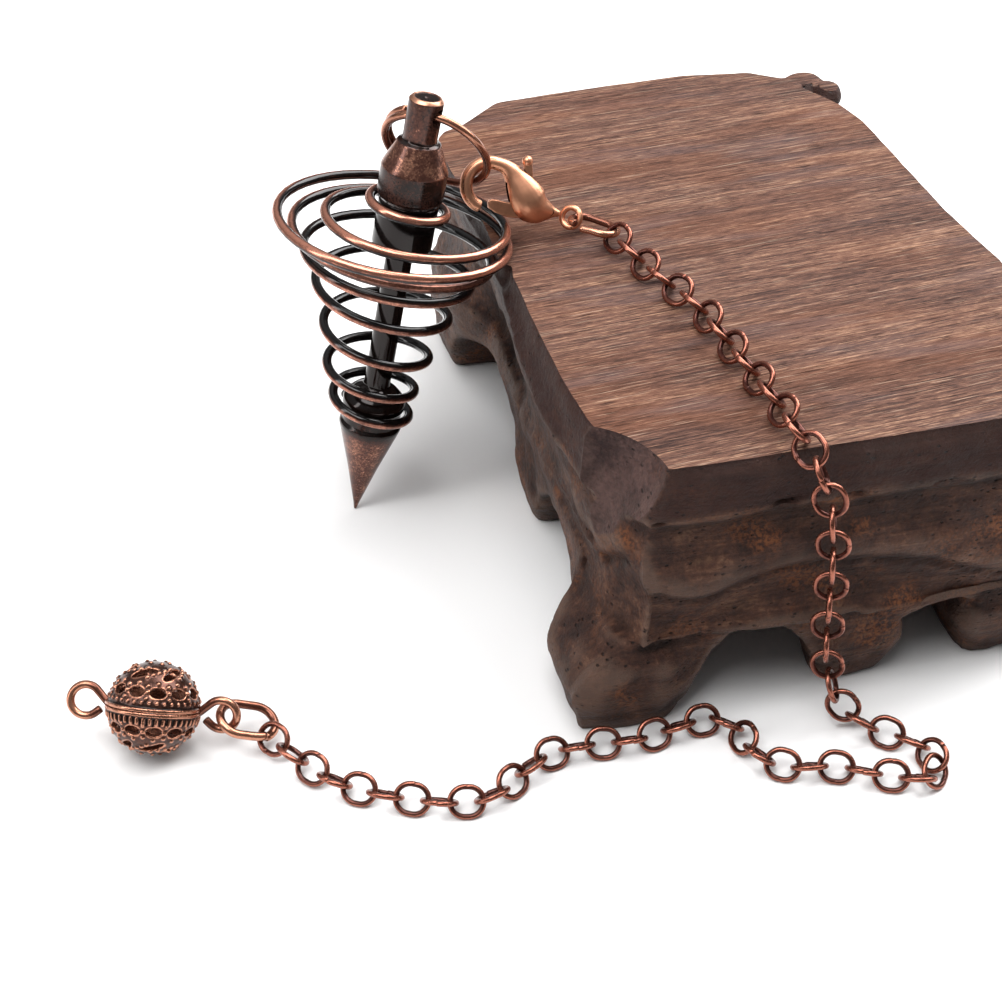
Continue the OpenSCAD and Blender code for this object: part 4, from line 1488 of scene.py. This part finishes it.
@dataclass
class EyeWire:
    """The wire through the bead, turned into an eye at each end."""

    wire_width: float = 0.8
    bead: float = 4.3
    eye: float = 2.9
    reach: float = 6.35
    open_angle: float = 50
    steps: int = 40

    def half_line(self) -> list:
        """Middle line of one half.

        Returns:
            Its points, from the bead's middle to the end of the eye.
        """
        sweep = 180 - self.open_angle
        arc = [math.radians(sweep * (1 - 2 * i / self.steps)) for i in range(self.steps + 1)]
        start = [(x, 0, 0) for x in (0, 1.5, 3, 4, 4.3)]
        loop = [(self.reach + self.eye / 2 * math.cos(a), 0, self.eye / 2 * math.sin(a)) for a in arc]
        return start + loop + [(self.bead + self.wire_width * 0.8, 0, -self.wire_width * 0.85)]

    def build(self) -> None:
        """Bend it and dress it."""
        half = [Vector(p) for p in self.half_line()]
        twist = turn(x=LAYOUT.eye_twist)
        line = [Vector((-p.x, p.y, p.z)) for p in reversed(half[1:])] + [twist @ p for p in half]
        obj = wire("eye_wire_bent", line, self.wire_width, 16)
        rows = places(obj)
        mark(obj, "worn", 0.35 + 0.45 * ramp(np.abs(rows[:, 0]), 5.2, 6.6))
        obj.data.transform(LAYOUT.ball())
        finish_piece(obj, FINISHES["wire"].material(), Slot.WIRE, Body.LAYOUT, "eye_wire")


@dataclass
class Stand:
    """The carved stand: a flat sawn top on a cove, an apron and short feet."""

    top: float = 29.8
    voxel: float = 0.42
    above: float = 3.0
    apron: tuple = ((-2.75, -27.05), (48.65, 41.75))
    plate: float = 6.0
    nodes: tuple = ("stand_body", "foot_front_left", "foot_front_middle", "foot_front_right",
                    "foot_right_middle", "foot_back_right", "foot_back_middle",
                    "foot_back_left", "foot_left_middle")
    front_arches: tuple = (
        ((8.6, 2), (9.6, 5), (10.8, 7.6), (12.4, 9.6), (14.2, 10.6), (16.2, 10.2), (18.6, 8.4),
         (20.6, 5.4), (21.6, 3)),
        ((28.6, 3.6), (28.9, 7.3), (32.1, 8.6), (35.6, 9), (38.4, 8), (39.6, 4)))
    back_arches: tuple = ((9, 18.8), (27.2, 36.8))
    left_arches: tuple = ((-15, 1), (9.8, 29.6))
    right_arches: tuple = ((-15, 3), (11.8, 29.6))
    back_corner: tuple = ((5.6, 38.6), (5.2, 38.3), (4.3, 37.2), (3.2, 36.2), (0.6, 34.9), (-1.6, 34.0),
                          (-2.6, 32.6), (-2.7, 29), (-2.2, 22.8), (-1.4, 17), (-1.2, 8), (8, 8), (12, 38.6))
    upper_ridge: tuple = ((-18.3, 18), (-16, 19.8), (-12.4, 24.9), (-3, 25.9), (5.5, 27.3), (34, 28.4))
    lower_ridge: tuple = ((-16, 16.4), (-6.9, 14.5), (5.7, 12.1), (34, 11))
    crease: tuple = ((3.2, 16.3), (8.9, 15.1), (14.4, 16.8), (18.2, 17.3), (24, 16.7), (31, 15.4),
                     (38.4, 12.5), (48, 12))
    wall_rise: float = 13
    crack: tuple = ((-0.9, -20.2, 15.7), (1.4, -23.8, 18.5))
    lump: tuple = (1.8, -23.0, 20.2)
    waist: float = 3.0
    scoop_low: tuple = (0.3, -20.6, 18.6, 0.4)
    scoop_high: tuple = (-3.9, -26.5, 30.6, 9.9)
    knobs: tuple = (((40.3, 36.3, 28.9), (2.7, 1.9, 1.3)), ((42.6, 34.0, 28.7), (1.7, 2.0, 1.5)))

    def arch(self, start: float, end: float) -> tuple:
        """The underside of a round arch between two feet.

        Args:
            start: Where the first foot ends.
            end: Where the second foot starts.

        Returns:
            Its points, along the side and upwards.
        """
        return tuple((start + (end - start) * k / 12, 3 + 6.6 * math.sin(math.pi * k / 12) ** 0.55)
                     for k in range(13))

    def plates(self) -> list:
        """The walls over the arches, which join the feet to the body.

        Returns:
            One solid for each arch.
        """
        (x0, y0), (x1, y1) = self.apron
        deep, rise, inset, lap = self.plate, self.wall_rise, 0.4, 1.5
        along_x, along_y = turn(x=90), turn(z=90) @ turn(x=90)
        back, left, right = ([self.arch(*feet) for feet in side]
                             for side in (self.back_arches, self.left_arches, self.right_arches))
        sides = [(self.front_arches, along_x, (-y0 - deep, -y0 - inset)),
                 (back, along_x, (-y1 + inset, -y1 + deep)),
                 (left, along_y, (x0 + inset, x0 + deep)),
                 (right, along_y, (x1 - deep, x1 - inset))]
        out = []
        for arches, place, (low, high) in sides:
            for line in arches:
                (a, b), (c, d) = line[0], line[-1]
                outline = [(a - lap, rise), (a - lap, b), *line, (c + lap, d), (c + lap, rise)]
                plate = prism("plate", outline, low, high)
                plate.data.transform(place)
                out.append(plate)
        return out

    def raise_top(self, bm: bmesh.types.BMesh) -> None:
        """Carry the top's outline upwards, so that smoothing doesn't round its edge.

        Args:
            bm: The stand's body.
        """
        flat = [f for f in bm.faces if f.normal.z > 0.99 and f.calc_center_median().z > self.top - 0.1]
        new = bmesh.ops.extrude_face_region(bm, geom=flat)["geom"]
        bmesh.ops.delete(bm, geom=flat, context="FACES")
        for v in new:
            if isinstance(v, bmesh.types.BMVert):
                v.co.z += self.above

    def scoop(self, obj: bpy.types.Object) -> None:
        """Cut the round hollow out of the front left corner.

        Args:
            obj: The stand.
        """
        (x0, y0, z0, r0), (x1, y1, z1, r1) = self.scoop_low, self.scoop_high
        clear()
        bpy.ops.mesh.primitive_cone_add(vertices=72, radius1=r0, radius2=r1, depth=z1 - z0)
        cone = bpy.context.object
        lean = Matrix.Identity(4)
        lean[0][2], lean[1][2] = (x1 - x0) / (z1 - z0), (y1 - y0) / (z1 - z0)
        cone.data.transform(move((x0 + x1) / 2, (y0 + y1) / 2, (z0 + z1) / 2) @ lean)
        cut_away(obj, cone)

    def in_scoop(self, rows: np.ndarray) -> np.ndarray:
        """How near each corner is to the round hollow's wall.

        Args:
            rows: The corners.

        Returns:
            One value a corner, 1 on the wall.
        """
        (x0, y0, z0, r0), (x1, y1, z1, r1) = self.scoop_low, self.scoop_high
        t = (rows[:, 2] - z0) / (z1 - z0)
        x, y = rows[:, 0] - x0 - (x1 - x0) * t, rows[:, 1] - y0 - (y1 - y0) * t
        away = np.hypot(x, y) - r0 - (r1 - r0) * t
        return ramp(np.abs(away), 0.12, 0.04) * (t > 0) * (t < 1)

    def carve(self, obj: bpy.types.Object) -> None:
        """Carve the tool marks, hollows and lumps of the hand-made sides.

        Args:
            obj: The stand, before its top is sawn off.
        """
        rows, n = places(obj), normals(obj)
        x, y, z = rows.T
        side = ramp(z, self.top + 0.6, self.top - 1.2)
        depth = -cloud(rows, 7.0, 3.1) * 0.4 - cloud(rows, 3.0, 9.7) * 0.2 - cloud(rows, 1.3, 5.3) * 0.1
        depth += self.left_hollows(rows, n) + self.front_hollows(rows, n) + self.knocks(rows)
        rows -= n * (depth * side)[:, None]
        # The waist is pulled in along X, and the feet stand flat on the table
        rows[:, 0] += (self.waist * ramp(x, 8, 0) * ramp(z, 23, 14) * ramp(y, 28, 20)
                       * np.maximum(ramp(z, 5, 11), ramp(y, -20, -15)))
        rows[:, 2] = np.maximum(rows[:, 2], 0)
        put_places(obj, rows)

    def left_hollows(self, rows: np.ndarray, n: np.ndarray) -> np.ndarray:
        """The long tooled hollows of the left side, between its two ridges.

        Args:
            rows: The corners.
            n: Their normals.

        Returns:
            How deep each corner is carved, in millimetres.
        """
        x, y, z = rows.T
        left = ramp(-n[:, 0], 0.3, 0.75) * ramp(y, -19.5, -17.5)
        high = np.interp(y, *zip(*self.upper_ridge))
        low = np.interp(y, *zip(*self.lower_ridge))
        between = np.clip((z - low) / (high - low), 0, 1)
        above = np.clip((z - high) / (self.top - high), 0, 1)
        below = np.clip(z / low, 0, 1)
        lump = ramp(z, 10, 8) * ramp(np.hypot(x + 2, y + 21), 8, 3) * ramp(-n[:, 0], 0.3, 0.7)
        return left * (1.1 * (4 * between * (1 - between)) ** 0.8 + 0.5 * 4 * above * (1 - above)
                       + 0.5 * 4 * below * (1 - below) - 0.5) - 0.7 * lump

    def front_hollows(self, rows: np.ndarray, n: np.ndarray) -> np.ndarray:
        """The crease along the front, the hollow under it, the nicks and the front left foot.

        Args:
            rows: The corners.
            n: Their normals.

        Returns:
            How deep each corner is carved, in millimetres.
        """
        x, y, z = rows.T
        front = ramp(-n[:, 1], 0.4, 0.8)
        line = np.interp(x, *zip(*self.crease))
        under = np.clip((line - z) / 6, 0, 1)
        depth = front * (0.5 * ramp(np.abs(z - line), 0.7, 0.0) + 0.9 * 4 * under * (1 - under)
                         - 0.5 * ramp(z, line, line + 1.5) * ramp(z, line + 5, line + 2.5))
        nicks = ramp(cloud(rows * (0.35, 1, 1), 1.6, 7.7), 0.1, 0.4)
        depth += front * 0.7 * nicks * ramp(np.abs(z - 24.6), 1.1, 0.3)
        return depth - 1.5 * ramp(z, 10, 7) * ramp(np.hypot(x - 2, y + 27), 8, 3) * front

    def knocks(self, rows: np.ndarray) -> np.ndarray:
        """The crack under the round hollow, and the small lump over it.

        Args:
            rows: The corners.

        Returns:
            How deep each corner is carved, in millimetres.
        """
        a, b = np.array(self.crack[0]), np.array(self.crack[1])
        share = np.clip((rows - a) @ (b - a) / ((b - a) @ (b - a)), 0, 1)
        from_crack = np.linalg.norm(rows - a - share[:, None] * (b - a), axis=1)
        from_lump = np.linalg.norm(rows - self.lump, axis=1)
        return 1.0 * np.exp(-(from_crack / 0.55) ** 2) - 0.8 * np.exp(-(from_lump / 1.3) ** 2)

    def cut_top(self, bm: bmesh.types.BMesh) -> None:
        """Saw the top off flat.

        Args:
            bm: The stand.
        """
        cut = bmesh.ops.bisect_plane(bm, geom=bm.verts[:] + bm.edges[:] + bm.faces[:],
                                     plane_co=(0, 0, self.top), plane_no=(0, 0, 1), clear_outer=True)
        rim = [e for e in cut["geom_cut"] if isinstance(e, bmesh.types.BMEdge)]
        bmesh.ops.contextual_create(bm, geom=rim)
        bmesh.ops.recalc_face_normals(bm, faces=bm.faces)
        bmesh.ops.triangulate(bm, faces=[f for f in bm.faces if len(f.verts) > 4])

    def build(self) -> None:
        """Carve it and dress it."""
        parts = [node_copy("stand", node) for node in self.nodes]
        edit(parts[0], self.raise_top)
        parts += self.plates() + [prism("corner", self.back_corner, 22, self.top + self.above)]
        parts += [sphere(3, 1, move(*at) @ Matrix.Diagonal((*size, 1))) for at, size in self.knobs]
        obj = join("stand_carved", parts)
        remesh(obj, self.voxel, 5)
        self.carve(obj)
        self.scoop(obj)
        edit(obj, self.cut_top)
        rows = places(obj)
        out = standing_out(obj, 12, 2)
        mark(obj, "worn", 0.5 + np.clip(out / 0.5, -0.5, 0.5) * (rows[:, 2] < self.top - 0.1))
        mark(obj, "cut", self.in_scoop(rows))
        shade(obj, 45)
        finish_piece(obj, OldWood().material(), Slot.WOOD, Body.LAYOUT, *self.nodes)


@dataclass
class Studio:
    """The white table, the light and the camera."""

    eye: tuple = (-34.88, -134.63, 130.6)
    forward: tuple = (0.1697, 0.7235, -0.6691)
    focal: float = 1800
    film: float = 36
    floor_size: float = 3000
    tent_colour: tuple = (0.62, 0.62, 0.63, 1)
    # Along each axis, from where to where the tent gets light, and its share before that
    tent_fades: tuple = (("Z", 0.0, 0.8, 0.04), ("Y", -0.75, 0.2, 0.25))
    # Each lamp's name, place, aim, sides and power
    lamps: tuple = (
        ("window", (270, 160, 330), (-20, 0, 0), (380, 380), 3.3),
        ("overhead_box", (-90, -50, 420), (-15, 0, 0), (280, 280), 1.5),
        ("left_strip", (-330, -40, 190), (0, 0, 15), (70, 320), 0.4))

    def floor(self) -> None:
        """A wide white table."""
        clear()
        bpy.ops.mesh.primitive_plane_add(size=self.floor_size * MM)
        table = bpy.context.object
        table.name = "white_table"
        g = Graph("white_paper")
        tone = g.noise(0.02, 2)
        table.data.materials.append(g.dress(
            Base_Color=g.blend(tone, paint(244, 243, 242), paint(247, 247, 247)), Roughness=0.75))

    def lamp(self, name: str, at: tuple, to: tuple, size: tuple, power: float) -> None:
        """Hang a soft box.

        Args:
            name: Name of the lamp.
            at: Its place, in millimetres.
            to: The point that it looks at.
            size: Its two sides, in millimetres.
            power: Its power, in watts.
        """
        light = bpy.data.lights.new(name, "AREA")
        light.shape = "RECTANGLE"
        light.size = size[0] * MM
        light.size_y = size[1] * MM
        light.energy = power
        obj = new_object(name, light)
        aim = (Vector(to) - Vector(at)).to_track_quat("-Z", "Y").to_matrix().to_4x4()
        obj.matrix_world = Matrix.Translation(Vector(at) * MM) @ aim

    def sky(self) -> None:
        """A white tent, darker towards the camera and near the table."""
        world = bpy.data.worlds.new("white_tent")
        bpy.context.scene.world = world
        world.use_nodes = True
        tree = world.node_tree
        back = tree.nodes["Background"]
        coord = tree.nodes.new("ShaderNodeTexCoord")
        split = tree.nodes.new("ShaderNodeSeparateXYZ")
        tree.links.new(coord.outputs["Generated"], split.inputs[0])
        both = tree.nodes.new("ShaderNodeMath")
        both.operation = "MULTIPLY"
        for i, (axis, low, high, least) in enumerate(self.tent_fades):
            fade = tree.nodes.new("ShaderNodeMapRange")
            fade.inputs["From Min"].default_value = low
            fade.inputs["From Max"].default_value = high
            fade.inputs["To Min"].default_value = least
            tree.links.new(split.outputs[axis], fade.inputs["Value"])
            tree.links.new(fade.outputs[0], both.inputs[i])
        tree.links.new(both.outputs[0], back.inputs["Strength"])
        back.inputs["Color"].default_value = self.tent_colour

    def camera(self) -> None:
        """The camera, at the photograph's angle."""
        data = bpy.data.cameras.new("camera")
        data.sensor_width = data.sensor_height = self.film
        data.sensor_fit = "HORIZONTAL"
        data.lens = self.focal * self.film / IMAGE
        data.clip_start, data.clip_end = 0.005, 20
        obj = new_object("camera", data)
        turned_to = Vector(self.forward).to_track_quat("-Z", "Y").to_matrix().to_4x4()
        obj.matrix_world = Matrix.Translation(Vector(self.eye) * MM) @ turned_to
        bpy.context.scene.camera = obj

    def build(self) -> None:
        """Set up the whole studio."""
        self.floor()
        self.sky()
        for row in self.lamps:
            self.lamp(*row)
        self.camera()
        view = bpy.context.scene.view_settings
        view.view_transform = "Standard"
        view.look = "None"


def main() -> None:
    """Build everything in order."""
    logging.basicConfig(level=logging.INFO, format="%(message)s")
    clear()
    for part in (Studio(), Pendulum(), Coil(), JumpRing(), Clasp(), OvalRings(), Chain(), Bead(),
                 EyeWire(), Stand()):
        part.build()


if __name__ == "__main__":
    main()
